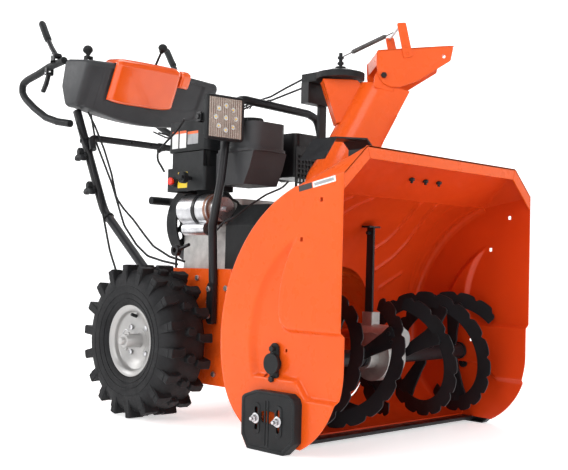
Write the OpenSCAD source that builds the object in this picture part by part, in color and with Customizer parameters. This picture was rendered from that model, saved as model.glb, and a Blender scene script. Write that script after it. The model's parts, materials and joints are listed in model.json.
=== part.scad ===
// Two-stage snow blower, built as separate pieces.
// Frame while drawing: x = 0 in the middle, +X the operator's left, -Y forward,
// y = 0 on the wheel axle, z = 0 on the ground. place() then centres the whole machine.

/* [Intake housing] */
// Clearing width over the side plates
clearing_w = 686; // [560:1:760]
// Height of the wheel axle line to the roof lip at the mouth
roof_z = 634; // [600:1:680]
// Thickness of the pressed steel sheet
sheet = 3; // [2:0.5:5]
// Height of the auger axis
auger_z = 181; // [175:1:200]
// Distance from the wheel axle forward to the auger axis
auger_reach = 528; // [515:1:560]
// Diameter over the auger flights
auger_d = 304; // [280:1:312]
// Radius of the housing floor round the auger
floor_r = 165; // [162:1:175]
// Radius of the side plates in front of the auger
front_r = 188; // [180:1:200]
// Diameter of the auger shaft
auger_shaft_d = 25; // [19:1:32]
// Turn of each auger flight in degrees
flight_turn = 395; // [300:5:420]
// Radial width of the auger flight ribbon
flight_w = 38; // [28:1:48]
// Bore of the impeller drum
drum_d = 324; // [300:1:330]
// Diameter over the impeller paddles
impeller_d = 306; // [280:1:314]
// Height of the impeller axis
impeller_z = 226; // [220:1:240]

/* [Skid shoes] */
// Length of a skid shoe
skid_l = 161; // [130:1:180]
// Height of a skid shoe
skid_h = 126; // [110:1:140]
// Depth of a skid shoe out from the side plate
skid_d = 22; // [14:1:30]
// Length of the height adjustment slots
skid_slot = 48; // [30:1:56]
// Bolt size of the skid shoes
skid_bolt_d = 8; // [6:1:10]

/* [Wheels and frame] */
// Diameter of the tyres
tyre_d = 381; // [360:1:400]
// Width of the tyres
tyre_w = 126; // [100:1:140]
// Distance between the tyre centres
track = 570; // [560:1:640]
// Diameter of the wheel rims over their flanges
rim_d = 178; // [160:1:190]
// Diameter of the half axles
axle_d = 19; // [16:1:25]
// Width of the tractor frame
frame_w = 384; // [340:1:388]
// Height of the frame top
frame_top = 375; // [350:1:390]
// Height of the frame bottom
frame_low = 86; // [70:1:110]
// Distance from the wheel axle back to the rear of the frame
frame_back = 98; // [90:1:120]

/* [Handles and console] */
// Outer diameter of the handle tubes
handle_d = 25; // [22:1:26]
// Distance between the handle tube axes
handle_gap = 414; // [410:1:416]
// Outer diameter of the loop grips
grip_d = 22; // [18:1:26]
// Distance between the loop grips
grip_gap = 480; // [474:1:520]
// Distance from the wheel axle back to the loop grips' outer bend
grip_reach = 771; // [740:1:800]
// Width of the console
console_w = 490; // [460:1:520]
// Outer diameter of the lamp bar
bar_d = 22; // [18:1:25]
// Outer side of the square lamp
lamp_w = 110; // [90:1:130]

/* [Chute] */
// Bore of the discharge neck
neck_d = 154; // [140:1:156]
// Width of the chute
chute_w = 140; // [130:1:142]
// Wall of the chute
chute_t = 2.5; // [2:0.5:4]
// Turn of the chute from straight ahead as it stands
chute_turn = 50; // [-60:1:60]

/* [Fits] */
// Gap between pieces that move past each other
clear = 0.5; // [0.3:0.1:1]
// Gap on the radius between a shaft and its bearing
shaft_fit = 0.15; // [0.1:0.05:0.3]

/* [Hidden] */
$fn = 48;
half_w = clearing_w / 2;
in_w = half_w - sheet;
auger_y = -auger_reach;
mouth_y = auger_y - front_r;
auger_r = auger_d / 2;
wrap_y = auger_y - 178;
wrap_z = auger_z + 44;
wrap_r = floor_r + norm([178, 44]);
tangent_a = atan2(-44, 178);
roof_back_y = mouth_y + 134;
roof_back_z = wrap_z + sqrt(wrap_r * wrap_r - pow(roof_back_y - wrap_y, 2));
roof_back_a = atan2(roof_back_z - wrap_z, roof_back_y - wrap_y);
plate_top_z = wrap_z + wrap_r;
corner_w = 68;
bearing_d = auger_shaft_d + 4.6;
tube_d = auger_shaft_d + 13;
drum_back = -215;
chute_y = -385;
neck_top = 506;
collar_low = 488;
collar_top = 592;
collar_gap = 0.6;
collar_r = neck_d / 2 + sheet + collar_gap + sheet;
tyre_r = tyre_d / 2;
axle_z = tyre_r;
frame_h = frame_w / 2;
slot_y1 = auger_y + 24;
slot_y2 = auger_y - 42;
slot_z = 67;
hx = handle_gap / 2;
gx = grip_gap / 2;
lamp = [-215, -200, 745];
lamp_turn = -6;
lamp_depth = 42;
engine_z = 485;
pulley_y = -178;
crank_d = 25;
shift_x = 40;
hinge = [95, 850];
cheek_gap = 3;
channel_depth = 117;
lip_w = 8;
lip_top = 757;
chute_lean = 26.5;
mouth_slope = 13;
shroud_top = 641;
lever_axis = [560, 1004];
trigger_axis = [600, 955];
gates = [38, -200];
gate_axis = [446, 990];
origin_y = (-mouth_y - grip_reach) / 2;

orange = [0.93, 0.33, 0.13];
deep = [0.80, 0.22, 0.10];
black = [0.10, 0.10, 0.11];
grey = [0.24, 0.24, 0.25];
steel = [0.72, 0.72, 0.74];
cast = [0.62, 0.60, 0.57];
rubber = [0.07, 0.07, 0.07];

// ---- helpers: outlines, sweeps and placing ----

function unit(v) = v / norm(v);

// Points on an arc about c in a plane outline
function arc(c, r, a0, a1, n) = [for (i = [0:n]) c + r * [cos(a0 + (a1 - a0) * i / n), sin(a0 + (a1 - a0) * i / n)]];

// One rounded corner of a route, as a few points on its fillet arc
function corner(p, q, s, r, n) =
    let (u = unit(p - q), v = unit(s - q), h = acos(max(-0.9999, min(0.9999, u * v))) / 2)
    let (t = min(r / tan(h), 0.45 * norm(p - q), 0.45 * norm(s - q)), e = t * tan(h))
    let (c = q + unit(u + v) * t / cos(h), x = unit(q + u * t - c), turn = 180 - 2 * h)
    [for (i = [0:n]) c + e * (x * cos(turn * i / n) - u * sin(turn * i / n))];

// A route with all its corners rounded
function smooth(p, r, n = 4) = concat([p[0]],
    [for (i = [1:len(p) - 2]) each corner(p[i - 1], p[i], p[i + 1], r, n)], [p[len(p) - 1]]);

function tangents(p) = [for (i = [0:len(p) - 1]) unit(p[min(i + 1, len(p) - 1)] - p[max(i - 1, 0)])];

// Directions across a route that turn as little as possible along it
function normals(t, n0) = [for (n = unit(n0 - (n0 * t[0]) * t[0]), i = 0; i < len(t);
    n = unit(n - (n * t[min(i + 1, len(t) - 1)]) * t[min(i + 1, len(t) - 1)]), i = i + 1) n];

// A closed solid through rings of equally many points
module skin(rings) {
    n = len(rings[0]);
    m = len(rings);
    sides = [for (i = [0:m - 2]) for (j = [0:n - 1]) let (k = (j + 1) % n)
        each [[i * n + j, i * n + k, (i + 1) * n + k], [i * n + j, (i + 1) * n + k, (i + 1) * n + j]]];
    polyhedron(points = [for (r = rings) each r],
        faces = concat([[for (j = [n - 1:-1:0]) j]], sides, [[for (j = [0:n - 1]) (m - 1) * n + j]]));
}

// A round bar or tube along a route of points
module bar(p, d, sides = 14) {
    t = tangents(p);
    a = normals(t, abs(t[0].z) > 0.9 ? [1, 0, 0] : [0, 0, 1]);
    skin([for (i = [0:len(p) - 1]) let (b = cross(t[i], a[i]))
        [for (j = [0:sides - 1]) p[i] + d / 2 * (a[i] * cos(360 * j / sides) - b * sin(360 * j / sides))]]);
}

// An outline in (y, z) carried along X, and one in (x, z) carried along Y
module along_x(x0, x1) { translate([x0, 0, 0]) rotate([90, 0, 90]) linear_extrude(x1 - x0) children(); }
module along_y(y0, y1) { translate([0, y1, 0]) rotate([90, 0, 0]) linear_extrude(y1 - y0) children(); }

// A cylinder along X or along Y, from its low end
module rod_x(d, x0, x1, y, z) { translate([x0, y, z]) rotate([0, 90, 0]) cylinder(d = d, h = x1 - x0); }
module rod_y(d, y0, y1, x, z) { translate([x, y1, z]) rotate([90, 0, 0]) cylinder(d = d, h = y1 - y0); }

module box(x0, x1, y0, y1, z0, z1) { translate([x0, y0, z0]) cube([x1 - x0, y1 - y0, z1 - z0]); }

// A box with rounded upright edges
module soft_box(x0, x1, y0, y1, z0, z1, r) {
    hull() for (x = [x0 + r, x1 - r], y = [y0 + r, y1 - r]) translate([x, y, z0]) cylinder(r = r, h = z1 - z0, $fn = 24);
}

// Hexagonal head or nut, with its axis along X
module hex_x(size, x0, x1, y, z) { translate([x0, y, z]) rotate([0, 90, 0]) cylinder(d = size * 1.15, h = x1 - x0, $fn = 6); }

module both() { children(); mirror([1, 0, 0]) children(); }

module place() { translate([0, origin_y, 0]) children(); }

// ---- intake housing ----

// Solid outline of the space that the wrap closes
module wrap_disc(r) { translate([wrap_y, wrap_z]) circle(r = r, $fn = 96); }

// The sloping roof: a flat middle and a three-cornered panel at each side
module roof() {
    top = in_w - corner_w;
    drop = sheet * 1.18;
    lap = 3;
    lap_z = roof_back_z - lap * (roof_z - roof_back_z) / (roof_back_y - mouth_y);
    ridge = [top, mouth_y, roof_z];
    n = unit(cross([in_w, mouth_y, plate_top_z] - ridge, [in_w, roof_back_y, roof_back_z] - ridge));
    intersection() {
        along_x(-in_w, in_w) polygon([[mouth_y, roof_z], [roof_back_y + lap, lap_z],
            [roof_back_y + lap, lap_z - drop], [mouth_y, roof_z - drop]]);
        translate([0, 0, 500]) linear_extrude(200) polygon([[-top, mouth_y], [top, mouth_y], [in_w, roof_back_y],
            [in_w, roof_back_y + lap], [-in_w, roof_back_y + lap], [-in_w, roof_back_y]]);
    }
    both() intersection() {
        translate(ridge) rotate([0, acos(n.z), atan2(n.y, n.x)]) translate([-200, -200, -sheet]) cube([400, 400, sheet]);
        translate([0, 0, 500]) linear_extrude(200)
            polygon([[top, mouth_y], [in_w, mouth_y], [in_w, roof_back_y]]);
    }
}

module auger_housing() {
    lap = 1.5;
    outer = concat(arc([wrap_y, wrap_z], wrap_r, roof_back_a + lap, tangent_a, 26),
        arc([auger_y, auger_z], floor_r, tangent_a, -90, 14));
    inner = concat(arc([auger_y, auger_z], floor_r - sheet, -90, tangent_a, 14),
        arc([wrap_y, wrap_z], wrap_r - sheet, tangent_a, roof_back_a + lap, 26));
    top = in_w - corner_w;
    color(orange) {
        difference() {
            along_x(-in_w, in_w) polygon(concat(outer, inner));
            rod_y(drum_d, -480, -300, 0, impeller_z);
            rod_x(skid_bolt_d, -in_w - 1, in_w + 1, auger_y + 60, 40);
        }
        roof();
        along_y(mouth_y + 0.2, mouth_y + sheet + 0.2) polygon([[-in_w, plate_top_z - 34], [-in_w, plate_top_z - 1],
            [-top, roof_z - 1], [top, roof_z - 1], [in_w, plate_top_z - 1], [in_w, plate_top_z - 34],
            [top - 9, roof_z - 27], [9 - top, roof_z - 27]]);
    }
}

module side_plate(s) {
    outline = concat([[mouth_y, plate_top_z], [roof_back_y, roof_back_z]],
        arc([wrap_y, wrap_z], wrap_r, roof_back_a, tangent_a, 26),
        arc([auger_y, auger_z], floor_r, tangent_a, -90, 14),
        arc([auger_y, auger_z], front_r, -117, -180, 12));
    color(orange) mirror([s < 0 ? 1 : 0, 0, 0]) difference() {
        along_x(in_w, half_w) polygon(outline);
        rod_x(bearing_d + 0.4, in_w - 1, half_w + 1, auger_y, auger_z);
        for (z = [-32, 31]) rod_x(8, in_w - 1, half_w + 1, auger_y, auger_z + z);
        for (p = [[-556, 210], [-501, 154]]) rod_x(8, in_w - 1, half_w + 1, p[0], p[1]);
        for (p = [[-658, 521], [-604, 441]])
            box(in_w - 1, half_w + 1, p[0] - 4.5, p[0] + 4.5, p[1] - 4.5, p[1] + 4.5);
        for (y = [slot_y1, slot_y2]) rod_x(skid_bolt_d + 0.6, in_w - 1, half_w + 1, y, slot_z);
    }
}
module side_plate_right() { side_plate(-1); }
module side_plate_left() { side_plate(1); }

module impeller_drum() {
    r = drum_d / 2;
    color(deep) difference() {
        union() {
            rod_y(drum_d + 2 * sheet, -430, drum_back, 0, impeller_z);
            translate([0, chute_y, impeller_z]) cylinder(d = neck_d + 2 * sheet, h = neck_top - impeller_z);
        }
        rod_y(drum_d, -431, drum_back - sheet, 0, impeller_z);
        translate([0, chute_y, impeller_z]) cylinder(d = neck_d, h = neck_top);
        along_x(-r - 10, r + 10) wrap_disc(wrap_r + 0.1);
        rod_y(38, drum_back - sheet - 1, drum_back + 1, 0, impeller_z);
    }
}

module scraper_bar() {
    color(black) box(-in_w + 1, in_w - 1, auger_y - 34, auger_y + 22, auger_z - floor_r - 8, auger_z - floor_r - 0.1);
}

module skid_shape() {
    polygon([[-458, 28], [-457, 107], [-465, 113], [-499, skid_h - 1], [-598, skid_h], [-613, 117],
        [-457 - skid_l, 106], [-457 - skid_l, 28], [-586, 0], [-477, 0]]);
}

module skid_shoes() {
    x0 = half_w + 0.1;
    x1 = half_w + skid_d;
    color(black) both() difference() {
        along_x(x0, x1) skid_shape();
        along_x(x0 - 1, x1 - 4) translate([-537, 66]) square([skid_l - 14, skid_h - 28], center = true);
        for (y = [slot_y1, slot_y2]) {
            box(x0, x1 + 1, y - 4.5, y + 4.5, slot_z - skid_slot / 2 + 4.5, slot_z + skid_slot / 2 - 4.5);
            for (s = [-1, 1]) rod_x(9, x0, x1 + 1, y, slot_z + s * (skid_slot / 2 - 4.5));
        }
    }
}

module skid_bolts() {
    x1 = half_w + skid_d;
    color(steel) both() for (y = [slot_y1, slot_y2]) {
        rod_x(skid_bolt_d, in_w - 6, x1 + 16, y, slot_z);
        rod_x(22, x1 + 0.1, x1 + 2, y, slot_z);
        hex_x(13, x1 + 2, x1 + 9, y, slot_z);
        rod_x(20, in_w - 9, in_w - 0.1, y, slot_z);
    }
}

module auger_bearings() {
    color(black) both() difference() {
        union() {
            rod_x(bearing_d + 14.4, half_w + 0.1, half_w + 6, auger_y, auger_z);
            rod_x(bearing_d, in_w - 14, half_w + 6, auger_y, auger_z);
            for (z = [-32, 31]) {
                hex_x(12, half_w + 0.1, half_w + 6, auger_y, auger_z + z);
                rod_x(7.6, in_w - 8, half_w + 1, auger_y, auger_z + z);
            }
            along_x(in_w - 5, in_w - 0.1) hull() {
                translate([auger_y, auger_z + 31]) circle(d = 24);
                translate([auger_y, auger_z - 32]) circle(d = 24);
            }
        }
        rod_x(auger_shaft_d + 2 * shaft_fit, in_w - 15, in_w + 2, auger_y, auger_z);
    }
}

module housing_brace() {
    color(black) {
        along_x(-3, 3) polygon([[auger_y + 22, 283], [auger_y + 44, 283], [-486, 483], [-506, 483]]);
        box(-20, 20, -508, -484, 482, 486);
        rod_x(9, -12, 12, -494, 470);
    }
}

module gearbox() {
    color(cast) difference() {
        union() {
            rod_x(112, -30, 30, auger_y, auger_z);
            rod_x(52, -58, 58, auger_y, auger_z);
            rod_y(58, auger_y - 62, auger_y + 66, 0, impeller_z);
            rod_y(44, auger_y - 74, auger_y - 62, 0, impeller_z);
            box(-14, 14, auger_y + 12, auger_y + 42, impeller_z, 283);
        }
        rod_x(auger_shaft_d + 2 * shaft_fit, -60, 60, auger_y, auger_z);
        rod_y(20.6, auger_y + 20, auger_y + 67, 0, impeller_z);
    }
}

// ---- tractor frame and engine ----

module tractor_frame() {
    f = drum_back + 0.1;
    color(orange) difference() {
        box(-frame_h, frame_h, f, frame_back, frame_low, frame_top);
        box(-frame_h + sheet, frame_h - sheet, f + sheet, frame_back - sheet, frame_low - 1, frame_top - sheet);
        box(-70, 70, -205, -150, frame_top - 10, frame_top + 1);
        rod_x(axle_d + 2 * shaft_fit, -frame_h - 1, frame_h + 1, 0, axle_z);
        rod_y(60, f - 1, f + sheet + 1, 0, impeller_z);
        rod_x(16.6, -frame_h - 1, frame_h + 1, -90, 250);
        both() box(frame_h - sheet - 1, frame_h + 1, -201, -191, 242, 297);
        both() rod_x(8.4, frame_h - sheet - 1, frame_h + 1, -160, 300);
    }
}

module frame_bolts() {
    color(steel) both() {
        for (p = [[-87, 351], [-199, 328], [-134, 292], [-160, 114], [50, 351], [60, 110]])
            hex_x(13, frame_h + 0.1, frame_h + 6, p[0], p[1]);
        for (z = [325, 259]) hex_x(13, frame_h + bar_d + 0.8, frame_h + bar_d + 6.5, -160, z);
    }
}

module belt_cover() {
    t = 3;
    outer = [[-140, 376], [140, 376], [140, 486], [100, 541], [-100, 541], [-140, 486]];
    inner = [[-137, 375], [137, 375], [137, 485], [98.5, 538], [-98.5, 538], [-137, 485]];
    color(black) difference() {
        along_y(-245, -128) polygon(outer);
        along_y(-242, -127) polygon(inner);
        rod_y(drum_d + 2 * sheet + 1, -246, drum_back + 0.5, 0, impeller_z);
    }
}

module engine_block() {
    color(cast) difference() {
        union() {
            soft_box(-96, 100, -118, 106, frame_top + 0.1, 470, 14);
            soft_box(-86, 90, -112, 100, 469, 560, 20);
            rod_y(90, -126, -110, 0, engine_z);
            for (i = [0:8]) translate([92, -60, 430]) rotate([0, -18, 0]) box(8 * i, 8 * i + 3, 0, 120, 0, 118);
            translate([80, -45, 445]) rotate([0, -18, 0]) box(0, 88, 0, 92, 0, 92);
            for (x = [-80, 84], y = [-100, 88]) translate([x, y, frame_top + 0.1]) cylinder(d = 26, h = 30);
        }
        rod_y(crank_d + 2 * shaft_fit, -130, 110, 0, engine_z);
    }
}

module recoil_housing() {
    color(black) difference() {
        union() {
            rod_y(236, 107, 150, 0, 500);
            rod_y(196, 149, 166, 0, 500);
            box(-60, 60, 107, 150, 560, 640);
        }
        rod_y(226, 106, 146, 0, 500);
        rod_y(182, 140, 161, 0, 500);
        for (a = [0:30:330]) translate([70 * cos(a), 170, 500 + 70 * sin(a)]) rotate([90, 0, 0]) cylinder(d = 22, h = 12);
        box(-56, 56, 106, 147, 555, 636);
        translate([-88, 135, 560]) rotate([90, 0, 0]) cylinder(d = 14, h = 40, center = true);
    }
}

module intake_cover() {
    color(black) difference() {
        union() {
            soft_box(-162, 60, -72, 96, 684, 765, 16);
            soft_box(-155, 50, -64, 88, 640, 685, 12);
        }
        box(-150, 46, -60, 84, 630, 761);
    }
}

module fuel_tank() {
    color(grey) difference() {
        union() {
            soft_box(-148, -34, -238, -92, 680, 746, 24);
            soft_box(-152, -30, -242, -88, 672, 680, 26);
            skin([for (k = [[590, 34], [630, 14], [672, 0]]) [for (q = [[-148, -94], [-34, -94],
                [-34, k[1] - 236], [-148, k[1] - 236]]) [q[0], q[1], k[0]]]]);
        }
        translate([-92, -165, 700]) cylinder(d = 40, h = 50);
    }
}

module fuel_cap() {
    color(black) {
        translate([-92, -165, 746.4]) cylinder(d = 56, h = 16);
        translate([-92, -165, 720]) cylinder(d = 38, h = 27);
        for (a = [0:30:330]) translate([-92 + 27 * cos(a), -165 + 27 * sin(a), 747]) cylinder(d = 7, h = 14);
    }
}

module muffler() {
    color(grey) {
        soft_box(20, 164.5, -213, -122, 620, 736, 16);
        rod_y(40, -124, -60, 120, 640);
    }
}

module muffler_guard() {
    color(black) difference() {
        box(14, 176, -222, -219, 560, 700);
        for (i = [0:11], j = [0:8]) box(22 + 12.6 * i, 30 + 12.6 * i, -223, -218, 570 + 12.4 * j, 578 + 12.4 * j);
    }
}

module control_box() {
    color(black) difference() {
        union() {
            soft_box(-172, -70, -78, 84, 578, 639.6, 8);
            box(-172, -163, -70, 60, 638, 680);
            rod_x(26, -180, -172, 46, 604);
        }
        rod_x(12.6, -181, -150, 46, 604);
        box(-160, -75, -70, 74, 570, 634);
        rod_x(10.6, -173, -155, -20, 610);
    }
}

module choke_knob() {
    color(black) {
        rod_x(10, -190, -156, -20, 610);
        rod_x(30, -204, -190, -20, 610);
        box(-212, -204, -33, -7, 606, 614);
    }
}

module stop_button() {
    color("red") {
        rod_x(12, -184, -156, 46, 604);
        rod_x(20, -190, -184, 46, 604);
    }
}

module starter_motor() {
    color(steel) {
        rod_y(82, -96, 20, -142, 528);
        rod_y(70, 20, 32, -142, 528);
        rod_y(62, -127.5, -96, -142, 528);
        rod_y(16, -138, -127.5, -142, 528);
        box(-130, -86.3, -60, 0, 500, 520);
        rod_y(34, -80, 10, -158, 478);
    }
}

module crankshaft() {
    color(steel) {
        rod_y(crank_d, -236, 139, 0, engine_z);
        rod_y(92, pulley_y - 26, pulley_y - 22, 0, engine_z);
        rod_y(80, pulley_y - 22, pulley_y - 12, 0, engine_z);
        rod_y(92, pulley_y - 12, pulley_y - 8, 0, engine_z);
        rod_y(80, pulley_y - 8, pulley_y + 2, 0, engine_z);
        rod_y(92, pulley_y + 2, pulley_y + 6, 0, engine_z);
        rod_y(150, 116, 138, 0, engine_z);
    }
}

module recoil_handle() {
    color(black) {
        rod_x(22, -150, -60, 182, 560);
        rod_y(13, 150, 175, -88, 560);
    }
}

module drive_belts() {
    r1 = 41;
    r2 = 59;
    color(rubber) for (y = [pulley_y - 17, pulley_y - 3]) difference() {
        along_y(y - 4, y + 4) hull() {
            translate([0, engine_z]) circle(r = r1 + 8);
            translate([0, impeller_z]) circle(r = r2 + 8);
        }
        along_y(y - 5, y + 5) hull() {
            translate([0, engine_z]) circle(r = r1 + 0.5);
            translate([0, impeller_z]) circle(r = r2 + 0.5);
        }
    }
}

module hex_shaft() {
    color(steel) {
        rod_x(16, -frame_h - 4, frame_h + 4, -90, 250);
        rod_x(120, shift_x - 9, shift_x + 9, -90, 250);
    }
}

// ---- wheels ----

module tyre() {
    rr = rim_d / 2;
    w = tyre_w / 2;
    color(rubber) union() {
        rotate([0, 90, 0]) rotate_extrude($fn = 96) polygon(concat(
            [[rr - 6, -w + 19], [rr + 0.4, -w + 15.3], [rr + 6, -w + 8], [rr + 40, -w], [tyre_r - 34, -w + 2], [tyre_r - 16, -w + 14]],
            [[tyre_r - 12, -20], [tyre_r - 12, 20]],
            [[tyre_r - 16, w - 14], [tyre_r - 34, w - 2], [rr + 40, w], [rr + 6, w - 8], [rr + 0.4, w - 15.3], [rr - 6, w - 19]]));
        intersection() {
            union() {
                for (i = [0:17], s = [-1, 1]) rotate([20 * i + 10 + 5 * s, 0, 0])
                    translate([s * (w - 25) - 22, -11, tyre_r - 30]) cube([44, 22, 30]);
                for (i = [0:17]) rotate([20 * i, 0, 0]) translate([-14, -13, tyre_r - 20]) cube([28, 26, 21]);
            }
            rotate([0, 90, 0]) cylinder(r = tyre_r, h = tyre_w, center = true, $fn = 144);
        }
    }
}

module wheel() {
    rr = rim_d / 2;
    w = tyre_w / 2;
    color(steel) difference() {
        union() {
            rotate([0, 90, 0]) rotate_extrude() polygon([[rr, -w + 12], [rr, -w + 15], [rr - 9, -w + 20.5],
                [rr - 12, -w + 34], [30, -w + 46], [30, -w + 42], [rr - 16, -w + 30], [rr - 16, -w + 18]]);
            rotate([0, 90, 0]) rotate_extrude() polygon([[rr, w - 12], [rr, w - 15], [rr - 9, w - 20.5],
                [rr - 12, -w + 30], [rr - 16, -w + 30], [rr - 16, w - 18]]);
            rotate([0, 90, 0]) translate([0, 0, -w - 6]) cylinder(d = 34, h = tyre_w + 6 - 14);
            rotate([0, 90, 0]) translate([0, 0, -w + 42]) cylinder(d = 62, h = 4);
        }
        rotate([0, 90, 0]) translate([0, 0, -w - 10]) cylinder(d = axle_d + 2 * shaft_fit, h = tyre_w + 20);
        translate([-w + 6, 0, -30]) cylinder(d = 8.4, h = 60);
    }
    color(steel) {
        rotate([0, 90, 0]) translate([0, 0, -w - 16]) cylinder(d = axle_d, h = track / 2 - 60 + w + 16);
        translate([-w + 6, 0, -24]) cylinder(d = 8, h = 46);
    }
}

// The wheel drawn for the right side has its outer face towards -X
module at_wheel(s) { mirror([s > 0 ? 1 : 0, 0, 0]) translate([-track / 2, 0, axle_z]) children(); }

module tyre_right() { at_wheel(-1) tyre(); }
module tyre_left() { at_wheel(1) tyre(); }
module wheel_right() { at_wheel(-1) wheel(); }
module wheel_left() { at_wheel(1) wheel(); }

// ---- auger and impeller ----

// One toothed ribbon wound round the shaft, starting at angle a0
module flight(a0, s) {
    n = 80;
    x0 = 44;
    x1 = in_w - 20;
    t = 4;
    skin([for (i = [0:n]) let (a = a0 - flight_turn * i / n, x = x0 + (x1 - x0) * i / n)
        let (r = auger_r - (i % 4 == 0 ? 7 : 0), q = auger_r - flight_w)
        [for (p = [[q, -t / 2], [r, -t / 2], [r, t / 2], [q, t / 2]])
            [s * (x + p[1]), auger_y - p[0] * cos(a), auger_z + p[0] * sin(a)]]]);
}

module auger_flights() {
    q = auger_r - flight_w + 12;
    color(black) for (s = [-1, 1]) {
        difference() {
            union() {
                for (a = [75, 269]) {
                    if (s > 0) flight(a, s);
                    else mirror([1, 0, 0]) flight(a, 1);
                    for (k = [0.12, 0.5, 0.88]) {
                        x = 44 + (in_w - 64) * k;
                        b = a - flight_turn * k;
                        translate([s * x, auger_y, auger_z]) rotate([-b, 0, 0])
                            translate([-3, -q, -14]) cube([6, q - 6, 28]);
                    }
                }
                if (s > 0) rod_x(tube_d, 59, in_w - 18, auger_y, auger_z);
                else rod_x(tube_d, -in_w + 18, -59, auger_y, auger_z);
            }
            rod_x(auger_shaft_d, -in_w, in_w, auger_y, auger_z);
            translate([s * 90, auger_y, auger_z - 30]) cylinder(d = 6.4, h = 28);
        }
    }
}

module auger_shaft() {
    color(steel) {
        rod_x(auger_shaft_d, -in_w, in_w, auger_y, auger_z);
        for (s = [-1, 1]) translate([s * 90, auger_y, auger_z - 28]) cylinder(d = 6, h = 22);
    }
}

module impeller() {
    y0 = -350;
    y1 = -256;
    color(orange) {
        rod_y(20, auger_y + 24, pulley_y + 20, 0, impeller_z);
        rod_y(46, y0 + 4, y1, 0, impeller_z);
        for (a = [0:90:270]) translate([0, 0, impeller_z]) rotate([0, a, 0])
            box(-2.5, 2.5, y0, y1, 18, impeller_d / 2);
        for (a = [0:90:270]) translate([0, 0, impeller_z]) rotate([0, a, 0])
            box(0, 22, y0, y1, impeller_d / 2 - 8, impeller_d / 2 - 5);
        rod_y(116, pulley_y - 22, pulley_y + 2, 0, impeller_z);
    }
}

// ---- chute ----

// Local +X is the way the chute throws, local origin on its axis of turn
module in_chute() { translate([0, chute_y, 0]) rotate([0, 0, chute_turn - 90]) children(); }

// Channel of the chute, square to its length: x from the round back to the lips
module channel_plan(w) {
    difference() {
        union() {
            translate([w, 0]) circle(r = w, $fn = 64);
            translate([w, -w]) square([channel_depth - w, 2 * w]);
            translate([channel_depth - chute_t, -w - lip_w]) square([chute_t, 2 * (w + lip_w)]);
        }
        translate([w, 0]) circle(r = w - chute_t, $fn = 64);
        translate([w, chute_t - w]) square([channel_depth, 2 * (w - chute_t)]);
    }
}

// The leaning channel, cut level below and by the slope of its mouth above
module chute_channel() {
    w = chute_w / 2;
    difference() {
        translate([-60, 0, 632]) rotate([0, chute_lean, 0]) linear_extrude(280) channel_plan(w);
        for (x = [0, -200]) translate([44, -150, 842]) rotate([0, mouth_slope, 0]) translate([x, 0, 0]) cube([300, 300, 200]);
        box(-200, 200, -150, 150, 560, shroud_top - 4);
        for (s = [-1, 1]) box(100, 300, s > 0 ? w : -w - 60, s > 0 ? w + 60 : -w, lip_top, 900);
    }
}

// The wide foot between the collar and the channel, open in front
module chute_shroud() {
    low_w = collar_r + sheet;
    top_w = chute_w / 2 + 3;
    difference() {
        hull() {
            translate([0, 0, collar_top - 1]) linear_extrude(0.1) circle(r = low_w, $fn = 32);
            translate([12, 0, shroud_top]) linear_extrude(0.1) circle(r = top_w, $fn = 32);
            translate([66, -low_w, collar_top - 1]) cube([0.1, 2 * low_w, 0.1]);
            translate([84, -top_w, shroud_top]) cube([0.1, 2 * top_w, 0.1]);
        }
        hull() {
            translate([0, 0, collar_top - 1.1]) linear_extrude(0.1) circle(r = low_w - chute_t, $fn = 32);
            translate([12, 0, shroud_top + 0.2]) linear_extrude(0.1) circle(r = top_w - chute_t, $fn = 32);
            translate([90, chute_t - low_w, collar_top - 1.1]) cube([0.1, 2 * (low_w - chute_t), 0.1]);
            translate([90, chute_t - top_w, shroud_top + 0.2]) cube([0.1, 2 * (top_w - chute_t), 0.1]);
        }
    }
}

module chute_collar() {
    difference() {
        union() {
            translate([0, 0, collar_low]) cylinder(r = collar_r, h = collar_top - collar_low, $fn = 72);
            translate([0, 0, collar_top - 4]) cylinder(r = collar_r + sheet + 1.5, h = 4, $fn = 72);
        }
        translate([0, 0, collar_low - 1]) cylinder(r = collar_r - sheet, h = collar_top, $fn = 72);
    }
}

// Gusset behind the channel that carries the turning head
module chute_gusset() {
    for (s = [-1, 1]) translate([0, s * 28 + 1.25, 0]) rotate([90, 0, 0]) linear_extrude(2.5)
        polygon([[-44, 846], [38, 846], [48.4, 836], [17.4, 770], [3, 742], [-8, 738]]);
    box(-46, 30, -29, 29, 844, 846.5);
    skin([for (p = [[-46, 846], [-10, 738]]) [[p[0], -29, p[1]], [p[0] + 3, -29, p[1]], [p[0] + 3, 29, p[1]],
        [p[0], 29, p[1]]]]);
}

// Ears and pins that the deflector tilts on
module chute_hinge() {
    w = chute_w / 2;
    for (s = [-1, 1]) {
        translate([0, s * (w - 1) + 2, 0]) rotate([90, 0, 0]) linear_extrude(4)
            polygon([[72, 822], [122, 812], [110, 862], [82, 862]]);
        translate([hinge[0], s > 0 ? w + 13 : -w + 2, hinge[1]]) rotate([90, 0, 0]) cylinder(d = 8, h = 15);
        translate([hinge[0], s > 0 ? w + 13 : -w - 7, hinge[1]]) rotate([90, 0, 0]) cylinder(d = 15, h = 6);
    }
}

module chute() {
    color(orange) in_chute() {
        chute_collar();
        chute_shroud();
        chute_channel();
        chute_gusset();
        chute_hinge();
    }
}

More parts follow.
